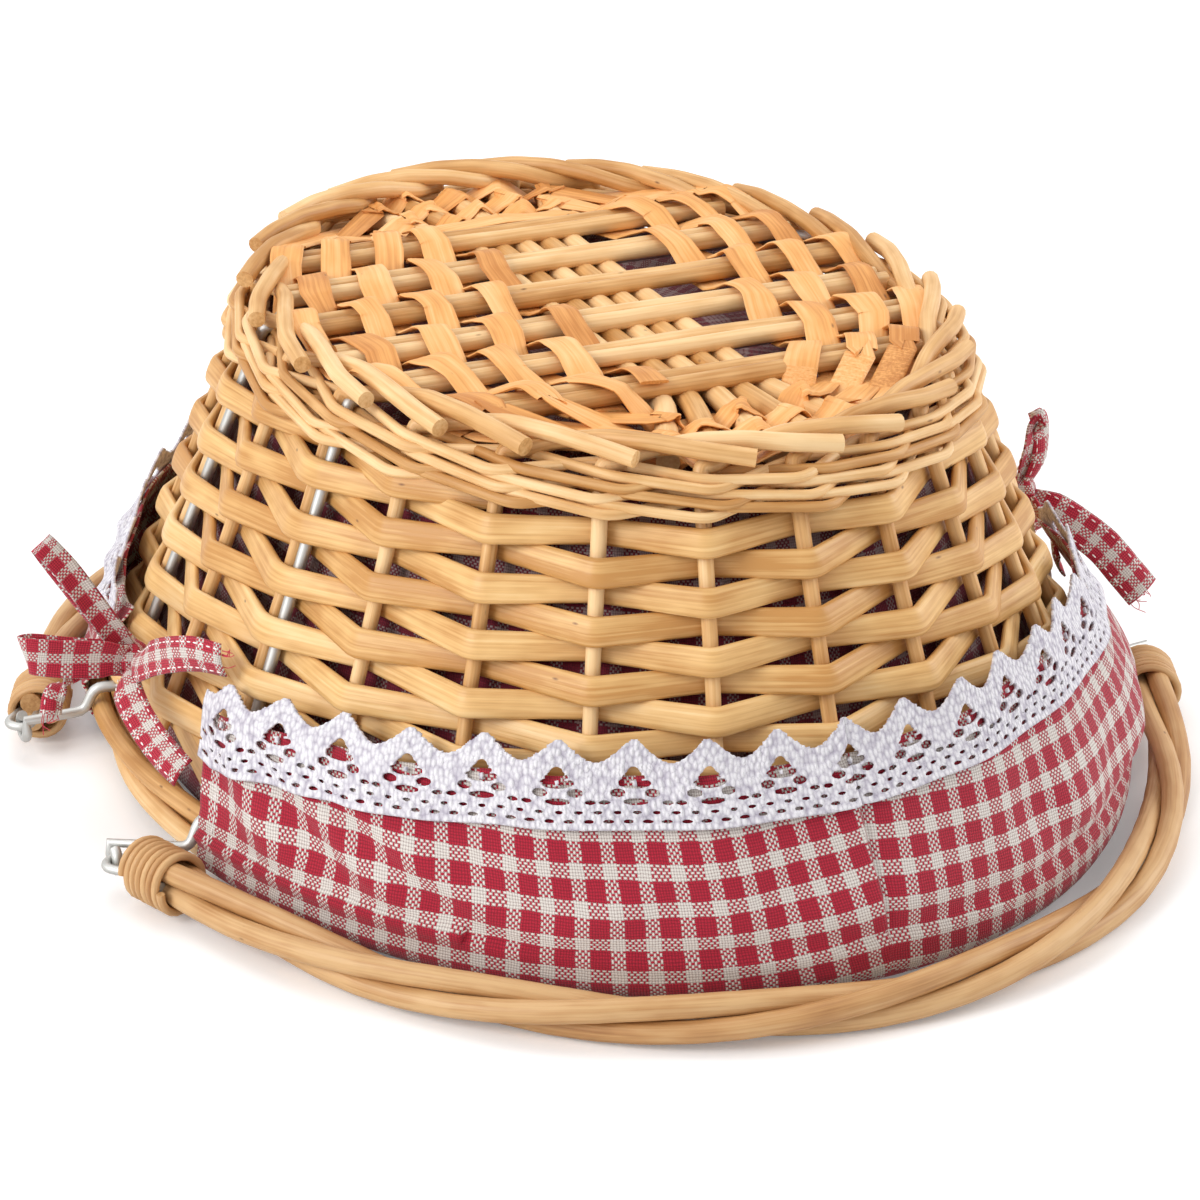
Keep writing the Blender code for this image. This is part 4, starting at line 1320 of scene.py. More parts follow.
@dataclass
class BaseWork:
    """Round sticks of the base with split willow skeins woven through them."""

    short_pairs: int = 6
    pair_pitch: float = 0.0305
    wired_pair: int = 4
    stick_radius: float = 0.0028
    stick_height: float = 0.1516
    long_sticks: int = 5
    long_pitch: float = 0.0084
    long_shift: float = 0.0050
    long_girth: float = 1.32
    fan_pitch: float = 0.0180
    straight: float = 0.079
    bite: float = 0.0015
    edge_margin: float = 0.0090
    skein_width: float = 0.0102
    skein_thick: float = 0.0012
    first_widths: Spot = (0.042, 0.047)
    width_steps: Spot = (0.011, 0.010)
    first_length: float = 0.0940
    length_step: float = 0.0080
    first_power: float = 3.2
    last_power: float = 2.0
    rows: int = 6
    nodes: int = 4
    loose_rows: tuple[float, ...] = (-0.031, -0.020)
    wire_radius: float = 0.0017

    def edge(self, angle: float) -> Vector:
        """Point at the inside of the foot border."""
        point = WALL.point(angle, WALL.base_height, -self.edge_margin)
        return Vector((point.x, point.y, self.stick_height))

    def half_length(self, along: float) -> float:
        """Half the length of a short stick that lies at this place along Y."""
        return self.edge(0.0).x * math.sqrt(1 - (along / self.edge(TURN / 4).y) ** 2)

    def pair_place(self, pair: int) -> float:
        """Middle of one pair of short sticks along Y."""
        return (pair - (self.short_pairs - 1) / 2) * self.pair_pitch

    @property
    def long_height(self) -> float:
        """Height of the long sticks."""
        return self.stick_height - 2 * self.stick_radius + self.bite - 0.8 * MM

    def long_across(self, stick: int, along: float) -> float:
        """Place of a long stick along X, fanned out at the ends.

        Args:
            stick: Which stick.
            along: Place along Y.

        Returns:
            The place.
        """
        lane = stick - (self.long_sticks - 1) / 2
        end = self.edge(TURN / 4).y
        fan = max(abs(along) - self.straight, 0.0) / (end - self.straight)
        pitch = self.long_pitch + (self.fan_pitch - self.long_pitch) * fan
        return lane * pitch + self.long_shift * (1 - fan)

    def sticks(self) -> list[Strand]:
        """Short sticks in pairs and the long sticks under them.

        Returns:
            The sticks.
        """
        made = []
        for pair in range(self.short_pairs):
            for side in (-1, 1):
                rng = random.Random(10 * pair + side)
                along = self.pair_place(pair) + side * (self.stick_radius + GAP / 2)
                half = self.half_length(along) + rng.uniform(-2.5, 1.5) * MM
                stations = [Vector((half * (k / 6 - 1), along, self.stick_height)) for k in range(13)]
                girth = rng.uniform(0.94, 1.10)
                girths = [girth * (1 + 0.04 * math.sin(k + pair)) for k in range(13)]
                made.append(Strand(wandering(stations, 0.6 * MM, 0.05, 80 + len(made)), girths=girths))
        for stick in range(self.long_sticks):
            lane = self.long_across(stick, self.edge(TURN / 4).y)
            end = self.edge(TURN / 4).y * math.sqrt(1 - (lane / self.edge(0.0).x) ** 2)
            points = []
            for along in (-end, -self.straight, self.straight, end):
                points.append(Vector((self.long_across(stick, along), along, self.long_height)))
            points = wandering(rounded(points, 0.012), 0.4 * MM, 0.05, 120 + stick)
            made.append(Strand(points, girths=[self.long_girth] * len(points)))
        return made

    def skein_place(self, row: int, share_of: float, along_x: bool, side: int) -> float:
        """Distance along one axis at which a row is this far along the other, on one side.

        Args:
            row: Which row.
            share_of: Distance along the other axis.
            along_x: Whether that other axis is X.
            side: Which side, -1 or 1.

        Returns:
            The distance.
        """
        which = side > 0
        half_width = self.first_widths[which] + row * self.width_steps[which]
        half_length = self.first_length + row * self.length_step
        power = self.first_power + (self.last_power - self.first_power) * row / (self.rows - 1)
        known, asked = (half_width, half_length) if along_x else (half_length, half_width)
        return asked * (1 - min(abs(share_of) / known, 1.0) ** power) ** (1 / power)

    def pair_edges(self, pair: int) -> Spot:
        """Where one pair of short sticks starts and ends along Y, with any hinge wire beside it.

        Args:
            pair: Which pair.

        Returns:
            Start and end.
        """
        reach = 2 * self.stick_radius + GAP / 2
        low, high = self.pair_place(pair) - reach, self.pair_place(pair) + reach
        wire = 2 * self.wire_radius + GAP
        if pair == self.wired_pair:
            low -= wire
        if pair == self.short_pairs - 1 - self.wired_pair:
            high += wire
        return low, high

    def side_crossings(self, row: int, side: int) -> list[list[Spot]]:
        """Where a row crosses the pairs of short sticks on one side, in the order it meets them.

        Args:
            row: Which row.
            side: Which side, -1 or 1.

        Returns:
            Both edges of each crossing.
        """
        found = []
        for pair in range(self.short_pairs):
            low, high = self.pair_edges(pair)
            edges = []
            for along in (low - self.skein_thick, high + self.skein_thick):
                edges.append((side * self.skein_place(row, along, False, side), along))
            found.append(edges[::side])
        return found[::side]

    def end_crossings(self, row: int, side: int) -> list[list[Spot]]:
        """Where a row crosses the long sticks at one end.

        Args:
            row: Which row.
            side: Which end, -1 or 1.

        Returns:
            Both edges of each crossing.
        """
        found = []
        for stick in range(self.long_sticks):
            along = self.skein_place(row, 0.0, True, 1)
            for _ in range(4):
                across = self.long_across(stick, along)
                along = self.skein_place(row, across, True, 1 if across > 0 else -1)
            reach = self.stick_radius * (1.1 if row == 0 else 0.8)
            edges = [(across + end * reach, side * along) for end in (-1, 1)]
            found.append(edges[::-side])
        found = found[::-side]
        return [[found[0][0], found[-1][1]]] if row == 0 else found

    def worked(self, runs: list[tuple[list[Spot], float]], row: int, cyclic: bool) -> Strand:
        """Split willow worked over one crossing and under the next.

        Args:
            runs: Edges and middle height of each crossing.
            row: Which row: it sets the beat and the small slips.
            cyclic: Whether the strip closes.

        Returns:
            The strip.
        """
        rng = random.Random(300 + row)
        clear = self.stick_radius + self.skein_thick / 2 + GAP
        points: Line = []
        for number, (edges, middle) in enumerate(runs):
            over = number % 2 == row % 2
            height = middle + (clear if over else -clear)
            first, last = (Vector((across, along, height)) for across, along in edges)
            slip = Vector((rng.uniform(-0.8, 0.8), 0.0, 0.0)) * MM
            skew = (last - first).cross(UP).normalized() * rng.uniform(-1.4, 1.4) * MM
            arch = Vector((0.0, 0.0, (rng.uniform(0.4, 2.6) if over else -0.3) * MM))
            points += [first + slip + skew, (first + last) / 2 + slip + arch, last + slip - skew]
        points = curved(rounded(points, 0.0022, steps=2, cyclic=cyclic), 2, cyclic=cyclic)
        sides = []
        for point, way in zip(points, tangents(points, cyclic)):
            lean = 0.34 * drift(point, 0.016, row * 3.0)
            sides.append(square_to(way, (UP + way.cross(UP) * lean).normalized()))
        girths = [1.0 + 0.16 * drift(point, 0.02, row) for point in points]
        return Strand(points, sides=sides, girths=girths, cyclic=cyclic)

    def skein(self, row: int) -> Strand:
        """Ring of one row of split willow.

        Args:
            row: Which row.

        Returns:
            The ring.
        """
        runs = []
        for side in (1, -1):
            runs += [(edges, self.stick_height) for edges in self.side_crossings(row, side)]
            runs += [(edges, self.long_height) for edges in self.end_crossings(row, side)]
        return self.worked(runs, row, cyclic=True)

    def loose(self, number: int) -> Strand:
        """Straight strip beside the long sticks, worked through the short ones only.

        Args:
            number: Which strip.

        Returns:
            The strip.
        """
        runs = []
        for pair in range(self.short_pairs):
            low, high = self.pair_edges(pair)
            across = self.loose_rows[number] - MM * (pair - 3) * number
            spots = [(across, along) for along in (low - self.skein_thick, high + self.skein_thick)]
            runs.append((spots, self.stick_height))
        return self.worked(runs, self.rows + 1 - number, cyclic=False)

    def build(self, shop: Workshop) -> None:
        """Lays the sticks and weaves the skeins.

        Args:
            shop: Tools and finishes.
        """
        section = round_section(self.stick_radius, corners=14)
        sticks = shop.sweep.lay("base_sticks", self.sticks(), section, shop.rod, seed=21)
        seat(sticks, "basket", "buff_willow", "base_sticks")
        flat = Section(self.skein_width, self.skein_thick, squareness=0.5, corners=12)
        strands = [self.skein(row) for row in range(self.rows)]
        strands += [self.loose(number) for number in range(len(self.loose_rows))]
        skeins = shop.sweep.lay("base_skeins", strands, flat, shop.skein, seed=22)
        seat(skeins, "basket", "split_willow", *[f"base_weaver_{row + 1}" for row in range(self.nodes)])


# Handles and their wires


@dataclass
class HandleSizes:
    """Sizes that both handles and the hinge wires share."""

    border: MouthBorder
    core_radius: float = 0.0015
    wire_radius: float = 0.0017
    pin_clearance: float = 0.0005
    rod_radius: float = 0.00325
    rods: int = 3
    turns: int = 3
    steps: int = 29
    skirt_clearance: float = 0.0014
    binding_radius: float = 0.0015
    binding_turns: int = 5
    binding_steps: int = 8
    binding_setback: float = 0.0100
    binding_pitch: float = 0.0034
    rest_flat: float = 0.0008
    hook_clearance: float = 0.0006
    hook_bend: float = 0.0026
    end_slant: float = math.radians(22)
    end_flare: float = 0.0020
    cloth_thick: float = 0.0010
    seen_radius: float = 0.0036
    seen_turns: float = 2.0
    seen_rise: float = 0.0004
    rod_overhang: float = 0.0032
    wrap_radius: float = 0.00135
    wrap_turns: int = 7

    def __post_init__(self) -> None:
        """Works out the places that follow from the sizes."""
        chord = math.cos(TURN / 2 * (self.turns + 0.2) / self.steps)
        self.lay_circle = (self.core_radius + GAP + self.rod_radius) / chord
        self.bundle = self.lay_circle + self.rod_radius
        self.seen_circle = self.seen_radius / math.sin(TURN / 2 / self.rods)
        turn = math.cos(TURN / 2 / self.binding_steps)
        self.binding_circle = (self.bundle + GAP + self.binding_radius) / turn
        self.binding_length = self.binding_turns * self.binding_pitch
        self.height = self.bundle - self.rest_flat
        self.hinge_height = self.binding_circle + self.binding_radius - self.rest_flat
        cloth = self.border.outer + GAP + self.cloth_thick
        corner = WALL.point(TURN / 8, self.height, cloth + self.skirt_clearance + self.bundle)
        self.half_width, self.half_length = corner.x * math.sqrt(2), corner.y * math.sqrt(2)
        self.hinge_along = WALL.point(WALL.space, self.border.height).y
        self.ring_radius = self.core_radius + self.pin_clearance + self.wire_radius
        self.leg_spread = self.wire_radius + self.hook_clearance + self.core_radius
        run = self.binding_setback + self.binding_length
        along = self.hinge_along + run * math.cos(self.end_slant)
        on_oval = self.half_width * math.sqrt(1 - (along / self.half_length) ** 2)
        self.eye_across = on_oval + self.end_flare + self.leg_spread + run * math.sin(self.end_slant)

    def end_axis(self, run: float) -> Vector:
        """Point on the middle of a bound end, in the rear right corner."""
        start = Vector((self.eye_across - self.leg_spread, self.hinge_along, self.hinge_height))
        return start + Vector((-math.sin(self.end_slant), math.cos(self.end_slant), 0.0)) * run

    def middle(self, side: Side) -> Line:
        """Middle line of a handle between its bound ends, from left to right.

        Args:
            side: Which handle.

        Returns:
            The line.
        """
        end = self.end_axis(self.binding_setback + self.binding_length)
        begin = math.asin(end.y / self.half_length) + WALL.space / 2
        arc = []
        for step in range(self.steps + 1):
            angle = begin + (TURN / 2 - 2 * begin) * step / self.steps
            away = min(angle - begin, TURN / 2 - begin - angle) / WALL.space
            rise = (self.hinge_height - self.height) * max(1 - away, 0.0) / 2
            across = -self.half_width * math.cos(angle)
            along = side.value * self.half_length * math.sin(angle)
            arc.append(Vector((across, along, self.height + rise)))
        start = self.end_axis(self.binding_setback)
        left = [in_corner(point, -1, side.value) for point in (start, end)]
        right = [in_corner(point, 1, side.value) for point in (end, start)]
        return left + arc + right


def in_corner(point: Vector, side_x: int, side_y: int) -> Vector:
    """Mirrors a point into another corner of the basket."""
    return Vector((point.x * side_x, point.y * side_y, point.z))


def twisted(points: Line, share: float, phase: float, radius: float) -> Vector:
    """Point along a line, moved off it to a radius at an angle.

    Args:
        points: The line.
        share: How far along it.
        phase: Angle round it.
        radius: Distance from it.

    Returns:
        The point.
    """
    point, direction = along_line(points, share)
    outward = direction.cross(UP).normalized()
    upward = outward.cross(direction)
    return point + outward * radius * math.cos(phase) + upward * radius * math.sin(phase)


@dataclass
class Handle:
    """Folding handle: three rods twisted on a steel core, both ends bound."""

    side: Side
    sizes: HandleSizes

    @property
    def body(self) -> str:
        """Name of the moving body."""
        return f"{self.side.word}_handle"

    def hook(self, end: End) -> Line:
        """End of the core, through the eye and back into the binding.

        Args:
            end: Which end.

        Returns:
            Its line, from the binding on.
        """
        s = self.sizes
        inner, outer = s.eye_across - s.leg_spread, s.eye_across + s.leg_spread
        along, high, bend = s.hinge_along, s.hinge_height, s.hook_bend
        past = s.ring_radius + s.wire_radius + s.hook_clearance
        corner = [
            s.end_axis(s.binding_setback),
            Vector((inner, along + bend, high)),
            Vector((inner + bend, along, high)),
            Vector((outer - bend, along, high)),
            Vector((outer, along + bend, high)),
            Vector((outer, along + past, high)),
        ]
        outward = Vector((math.cos(s.end_slant), math.sin(s.end_slant), 0.0))
        nest = s.core_radius + s.rod_radius + 2 * GAP
        for run in (s.binding_setback * 1.2, s.binding_setback + s.binding_length * 0.8):
            corner.append(s.end_axis(run) + outward * nest)
        return [in_corner(point, end.value, self.side.value) for point in corner]

    def rod_strands(self) -> list[Strand]:
        """The three twisted rods.

        Returns:
            The rods.
        """
        s = self.sizes
        middle = s.middle(self.side)
        for index, sign in ((0, -1), (-1, 1)):
            middle[index] = in_corner(s.end_axis(s.binding_setback - s.rod_overhang), sign, self.side.value)
        middle = [point + Vector((0.0, 0.0, s.seen_rise)) for point in middle]
        bound = (s.binding_length + s.rod_overhang) / line_length(middle)
        first = TURN / 2 if self.side is Side.REAR else 0.0
        steps = 6 * s.steps
        made = []
        for rod in range(s.rods):
            rng = random.Random(40 + rod + 10 * self.side.value)
            begin, end = rng.uniform(0.0, 0.004), 1.0 - rng.uniform(0.0, 0.004)
            points, girths = [], []
            for step in range(steps + 1):
                share = begin + (end - begin) * step / steps
                lay = unit((share - bound) / (1 - 2 * bound))
                phase = first - self.side.value * TURN * (s.seen_turns * lay + (rod + 0.5) / s.rods)
                gape = bump_at((lay - 0.30) / 0.05) + 0.6 * bump_at((lay - 0.72) / 0.04)
                loose = 1 + 0.16 * gape * (rod == 1) + 0.04 * math.sin(TURN * 2.3 * lay + 2 * rod)
                points.append(twisted(middle, share, phase, s.seen_circle * loose))
                girths.append(1.0 + 0.05 * noise.noise(Vector((share * 9, rod, self.side.value))))
            made.append(Strand(points, girths=girths))
        return made

    def binding_strand(self, end: End) -> Strand:
        """Turns of split willow round one bound end.

        Args:
            end: Which end.

        Returns:
            The turns as one rod.
        """
        s = self.sizes
        line = [s.end_axis(s.binding_setback + run) for run in (-s.wrap_radius, s.binding_length)]
        line = [in_corner(point, end.value, self.side.value) for point in line]
        steps = s.wrap_turns * 3 * s.binding_steps
        reach = s.seen_circle + s.seen_radius
        points = []
        for step in range(steps + 1):
            phase = TURN * step / (3 * s.binding_steps)
            lobe = math.cos(1.5 * (phase - self.side.value * TURN / 2 / s.rods))
            radius = reach * (0.93 + 0.05 * lobe * lobe) + s.wrap_radius
            points.append(twisted(line, step / steps, phase, radius))
        girths = [1.0 + 0.08 * drift(point, 0.006) for point in points]
        return Strand(points, girths=girths)

    def build(self, shop: Workshop) -> None:
        """Makes the handle's rods, core and bindings.

        Args:
            shop: Tools and finishes.
        """
        s, name = self.sizes, self.body
        round_rod = round_section(s.seen_radius, corners=14)
        rods = shop.sweep.lay(f"{name}_rods", self.rod_strands(), round_rod, shop.handle, seed=31)
        seat(rods, name, "buff_willow", *[f"{name}_rod_{k + 1}" for k in range(s.rods)])
        middle = s.middle(self.side)
        core = self.hook(End.LEFT)[:0:-1] + middle + self.hook(End.RIGHT)[1:]
        wire = round_section(s.core_radius, corners=10)
        steel = shop.sweep.lay(f"{name}_core", [Strand(rounded(core, 0.0024, steps=3))], wire, shop.wire)
        seat(steel, name, "steel_wire", f"{name}_core")
        bound = round_section(s.wrap_radius, corners=10)
        for end in End:
            label = f"{name}_binding_{end.word}"
            piece = shop.sweep.lay(label, [self.binding_strand(end)], bound, shop.handle, seed=33)
            seat(piece, name, "buff_willow", label)


@dataclass
class HingeWires:
    """Steel wires that cross the base, run down inside the weave and end in the hinge eyes."""

    sizes: HandleSizes
    stakes: Stakes
    base: BaseWork
    open_share: float = 0.30
    eye_steps: int = 24
    tuck: float = 0.0028

    def half(self, end: End, side: Side) -> Line:
        """Half of one wire, from the base to its eye.

        Args:
            end: End of the hinge axis.
            side: Which wire.

        Returns:
            Its line.
        """
        s, radius = self.sizes, self.sizes.wire_radius
        order = {(1, 1): 0, (-1, 1): 1, (-1, -1): 2, (1, -1): 3}[(end.value, side.value)]
        angle = self.stakes.wired()[order] * WALL.space
        apart = self.stakes.radius + radius + GAP

        def beside(height: float, offset: float = 0.0) -> Vector:
            """Place beside the stake."""
            return WALL.point(angle + WALL.angle_of(angle, apart, height), height, offset)

        along = self.base.pair_place(self.base.wired_pair)
        top = self.base.stick_height
        under_pair = Vector((end.value * self.base.half_length(along), side.value * along, top - self.tuck))
        under = s.border.height + s.border.outer + radius + 2 * GAP
        points = [
            under_pair,
            beside(top - self.tuck, -2.2 * radius),
            beside(top - self.tuck - radius, -1.3 * radius),
            beside(self.stakes.border_height - 3 * radius),
            beside((WALL.base_height + under) / 2),
            beside(under + radius),
            beside(under, radius),
            beside(under, s.border.outer + 1.5 * radius),
            beside(s.border.height + radius, s.border.outer + 2 * radius),
        ]
        centre = Vector((end.value * s.eye_across, side.value * s.hinge_along, s.hinge_height))
        inward = Vector((0.0, -side.value * s.ring_radius, 0.0))
        upward = Vector((0.0, 0.0, s.ring_radius))
        points.append(centre + inward + upward)
        points = rounded(points, 0.003, steps=3)
        for step in range(self.eye_steps + 1):
            turn = TURN * (1 - self.open_share) * step / self.eye_steps
            points.append(centre + inward * math.cos(turn) - upward * math.sin(turn))
        return points

    def build(self, shop: Workshop) -> None:
        """Bends both wires.

        Args:
            shop: Tools and finishes.
        """
        section = round_section(self.sizes.wire_radius)
        for side in Side:
            points = self.half(End.LEFT, side)[::-1] + self.half(End.RIGHT, side)
            low, high = self.sizes.hinge_height, 2 * self.sizes.border.height
            girths = [1 + 0.15 * unit((point.z - low) / (high - low)) for point in points]
            strand = Strand(points, girths=girths)
            piece = shop.sweep.lay(f"hinge_wire_{side.word}", [strand], section, shop.wire)
            seat(piece, "basket", "steel_wire", f"hinge_wire_{side.word}")


# Cloth


@dataclass
class ClothSizes:
    """Where the cloth lies against the weave and the mouth border."""

    border: MouthBorder
    stakes: Stakes
    weaver_thick: float = 0.0030
    thick: float = 0.0010

    @property
    def at_mouth(self) -> float:
        """Offset of the cloth's middle where it goes round the mouth border."""
        return self.border.outer + GAP + self.thick / 2

    @property
    def on_weave(self) -> float:
        """Offset of the cloth's middle where it lies on the weave."""
        weave = (self.stakes.radius + self.weaver_thick + 2 * GAP) / WALL.lean_cosine
        return max(weave + GAP + self.thick / 2, self.at_mouth)


@dataclass
class Lining:
    """Gingham cup inside the weave."""

    cloth: ClothSizes
    wale: FootWale
    top_height: float = 0.1405
    depth: float = 0.205
    side_share: float = 0.72
    floor_share: float = 0.28
    floor_reach: float = 0.995
    slack: float = 1.6 * MM
    columns: int = 144
    rows: int = 16

    def place(self, along: float, up: float) -> Vector:
        """Point of the lining at a share round it and up it.

        Args:
            along: Share round it.
            up: Share up it.

        Returns:
            The point.
        """
        angle = TURN * along
        inner = self.cloth.stakes.radius + self.wale.radius + 1.5 * GAP
        top = -(inner + self.wale.radius) / WALL.lean_cosine - GAP - self.cloth.thick / 2
        side = min(up / self.side_share, 1.0)
        height = self.cloth.border.height + (self.top_height - self.cloth.border.height) * side
        offset = -self.cloth.at_mouth + (top + self.cloth.at_mouth) * side
        slack = noise.noise(Vector((math.cos(angle) * 4, math.sin(angle) * 4, height * 22)))
        point = WALL.point(angle, height, offset - self.slack * (slack + 0.6) * math.sin(math.pi * side))
        if up > self.side_share:
            left = 1 - (up - self.side_share) / self.floor_share * self.floor_reach
            edge = WALL.point(angle, self.top_height, top)
            return Vector((edge.x * left, edge.y * left, self.top_height))
        return point

    def build(self, shop: Workshop) -> None:
        """Makes the lining.

        Args:
            shop: Tools and finishes.
        """
        faces, size = (self.columns, self.rows), (0.99, self.depth)
        sheet = woven_sheet("lining_cloth", faces, size, self.place, cyclic=True)
        dress(sheet, shop.lining)
        thickened(sheet, 0.6 * MM)
        seat(sheet, "basket", "gingham_cotton", "lining")


@dataclass
class Skirt:
    """Outer panel of gingham: it goes round the mouth border and stands up the wall."""

    side: Side
    cloth: ClothSizes
    top_height: float = 0.0620
    overlap: float = 0.0125
    tops: tuple[Spot, ...] = (
        (170, 42.5), (166, 40.0), (159, 44.5), (148, 48.5), (137, 51.5), (129, 54.5), (109, 57.6),
        (90, 59.5), (79, 61.0), (66, 62.2), (53, 63.0), (34, 59.5), (10, 53.0),
    )
    end_angles: Spot = (math.radians(16.8), math.radians(12.0))
    folds: int = 9
    fold_depth: float = 0.0016
    belly: float = 0.0034
    columns: int = 400
    rows: int = 28
    hem: float = 0.0070
    seam_step: float = 0.0016
    pulls: Route = ((147, 24, 2.6), (138, 30, 2.0), (158, 16, 2.2), (112, -20, 1.0), (62, 14, 1.2))
    seam_tilts: Spot = (math.tan(math.radians(8)), math.tan(math.radians(6)))
    tilt_reach: float = 0.110
    marks: int = 60
    straight_to: float = 0.030
    full_at: Spot = (32, 22)
    pull_width: float = 3.4
    seam_reach: float = 0.006
    weft_stretch: float = 1.06
    seam_slip: float = 0.0031

    def end_angle(self, height: float) -> float:
        """Angle between the hinge axis and the panel's end at this height."""
        rise = unit((height - self.straight_to) / (self.top_height - self.straight_to))
        return self.end_angles[0] + (self.end_angles[1] - self.end_angles[0]) * rise

    def angle(self, share: float, height: float) -> float:
        """Angle round the oval at this share of the panel's length.

        Args:
            share: Share of the length.
            height: Height there.

        Returns:
            The angle.
        """
        end = self.end_angle(height)
        lean = (6.0 - 7.0 * height / self.top_height) * MM / WALL.base_half_length
        middle = bump_at((share - 0.5) / 0.12)
        return self.side.value * (end + (TURN / 2 - 2 * end) * share) + lean * middle

    def top(self, angle: float) -> float:
        """Height of the panel's free edge at this angle.

        Args:
            angle: Angle round the oval.

        Returns:
            The height.
        """
        turn = min(max(math.degrees(abs(angle)), self.tops[-1][0]), self.tops[0][0])
        for (far, high), (near, low) in zip(self.tops, self.tops[1:]):
            if turn >= near:
                return (low + (high - low) * (turn - near) / (far - near)) * MM
        return self.tops[-1][1] * MM

    def section(self) -> Line:
        """Section of the panel as a fine line of offset and height.

        Returns:
            The section.
        """
        step = math.radians(45)
        border = self.cloth.border
        circle = self.cloth.at_mouth
        made = []
        for number in range(9):
            turn = math.radians(200) + step / 2 * number
            made.append(Vector((circle * math.cos(turn), 0.0, border.height + circle * math.sin(turn))))
        for rise in (0.25, 0.5, 0.75, 1.0):
            height = border.height + (self.top_height - border.height) * rise
            swell = self.belly * math.sin(math.pi * rise**0.8)
            made.append(Vector((self.cloth.on_weave + swell, 0.0, height)))
        return curved(made, 4)

    def stand_off(self, share: float, rise: float, angle: float) -> float:
        """How far the panel stands off the wall by its folds and its slack.

        Args:
            share: Share of the panel's length.
            rise: Share of its height above the mouth border.
            angle: Angle round the oval.

        Returns:
            The distance beyond the plain section.
        """
        even = self.fold_depth * (1 - math.cos(TURN * self.folds * share)) / 2 * rise
        turn = math.degrees(abs(angle))
        right = bump_at((turn - self.full_at[0]) / self.full_at[1])
        full = (3.6 - 1.4 * rise + 3.4 * math.sin(math.pi * min(rise * 1.05, 1.0))) * min(rise * 5, 1.0)
        pulls = 0.0
        for centre, slope, depth in self.pulls:
            off = (turn - centre - slope * (rise - 0.5)) / self.pull_width
            pulls += depth * (bump_at(off) - 0.7 * bump_at(off - 1.7))
        pulls *= math.sin(math.pi * min(rise + 0.08, 1.0))
        return even + (full * right + pulls + 1.1 * min(rise * 4, 1.0)) * MM

    def place(self, along: float, up: float) -> Vector:
        """Point of the panel at a share along it and up it.

        Args:
            along: Share along it.
            up: Share up it.

        Returns:
            The point.
        """
        share = along if self.side is Side.REAR else 1 - along
        spot, _ = along_line(self._section, up)
        offset, height = spot.x, spot.z
        border = self.cloth.border
        angle = self.angle(share, height)
        if height > border.height:
            height = border.height + (height - border.height) * self.stretch(angle)
        rise = max(height - border.height - border.outer, 0.0)
        rise /= self.top_height - border.height - border.outer
        soft = noise.noise(Vector((share * 16, height * 40 + share * 7, self.side.value * 3)))
        offset += self.stand_off(share, rise, angle) * (rise > 0)
        offset += 2.2 * MM * soft * math.sin(math.pi * min(rise * 1.15, 1.0))
        left = (along < 0.5) == (self.side is Side.FRONT)
        beside = abs(along - 0.5) * self._long
        if not left:
            offset -= self.seam_step * math.exp(-beside / self.seam_reach) * min(rise * 6, 1.0)
        if height < border.height + border.outer:
            middle = WALL.point(angle, border.height, offset)
            middle.z = height
            return middle
        return WALL.point(angle, height, offset)

    def stretch(self, angle: float) -> float:
        """Height of the panel here, as a share of the section's."""
        low = self.cloth.border.height
        return (self.top(angle) + self.overlap - low) / (self.top_height - low)

    def weave(self, along: float, up: float) -> Spot:
        """Cloth coordinates of the panel: cut at the seam, with its threads leaning on both sides.

        Args:
            along: Share along it.
            up: Share up it.

        Returns:
            The coordinates in metres.
        """
        turned = self.cloth.at_mouth * math.radians(160)
        height = up * self._height
        share = along if self.side is Side.REAR else 1 - along
        if height > turned:
            height = turned + (height - turned) * self.stretch(self.angle(share, self.top_height / 2))
        index = min(int(along * self.marks), self.marks - 1)
        done = self._lengths[index]
        done += (self._lengths[index + 1] - done) * (along * self.marks - index)
        off = done - self._lengths[self.marks // 2]
        left = off < 0
        tilt = self.seam_tilts[0] if left else -self.seam_tilts[1]
        near = min(abs(off), self.tilt_reach)
        run = math.copysign(near - near * near / (2 * self.tilt_reach), off)
        lean = tilt * (1 - near / self.tilt_reach) * height
        return off + lean + (0.0 if left else self.seam_slip), self.weft_stretch * height - tilt * run + 0.05

    def build(self, shop: Workshop) -> None:
        """Makes the panel with its stitched ends.

        Args:
            shop: Tools and finishes.
        """
        self._long = 0.5
        self._section = self.section()
        name = self.side.word
        self._height = height = line_length(self._section)
        middle = [self.place(k / self.marks, 0.6) for k in range(self.marks + 1)]
        self._lengths = [line_length(middle[: k + 1]) for k in range(self.marks + 1)]
        self._long = long = self._lengths[-1]
        faces, size = (self.columns, self.rows), (long, height)
        sheet = woven_sheet(f"skirt_{name}_panel", faces, size, self.place, cloth=self.weave)
        dress(sheet, shop.gingham)
        thickened(sheet, 0.8 * MM)
        seat(sheet, "basket", "gingham_cotton", f"skirt_{name}")
        rows = []
        for share in (self.hem / long, 1 - self.hem / long):
            points = [self.place(share, 0.30 + 0.68 * k / 24) for k in range(25)]
            sides = [WALL.outward(math.atan2(p.y, p.x), p.z) for p in points]
            rows.append(Strand([p + s * 0.5 * MM for p, s in zip(points, sides)], sides=sides))
        stitches = shop.stitches.sew(f"skirt_{name}_stitches", rows, 3.4 * MM, 2.4 * MM, shop.white_thread)
        seat(stitches, "basket", "gingham_cotton")


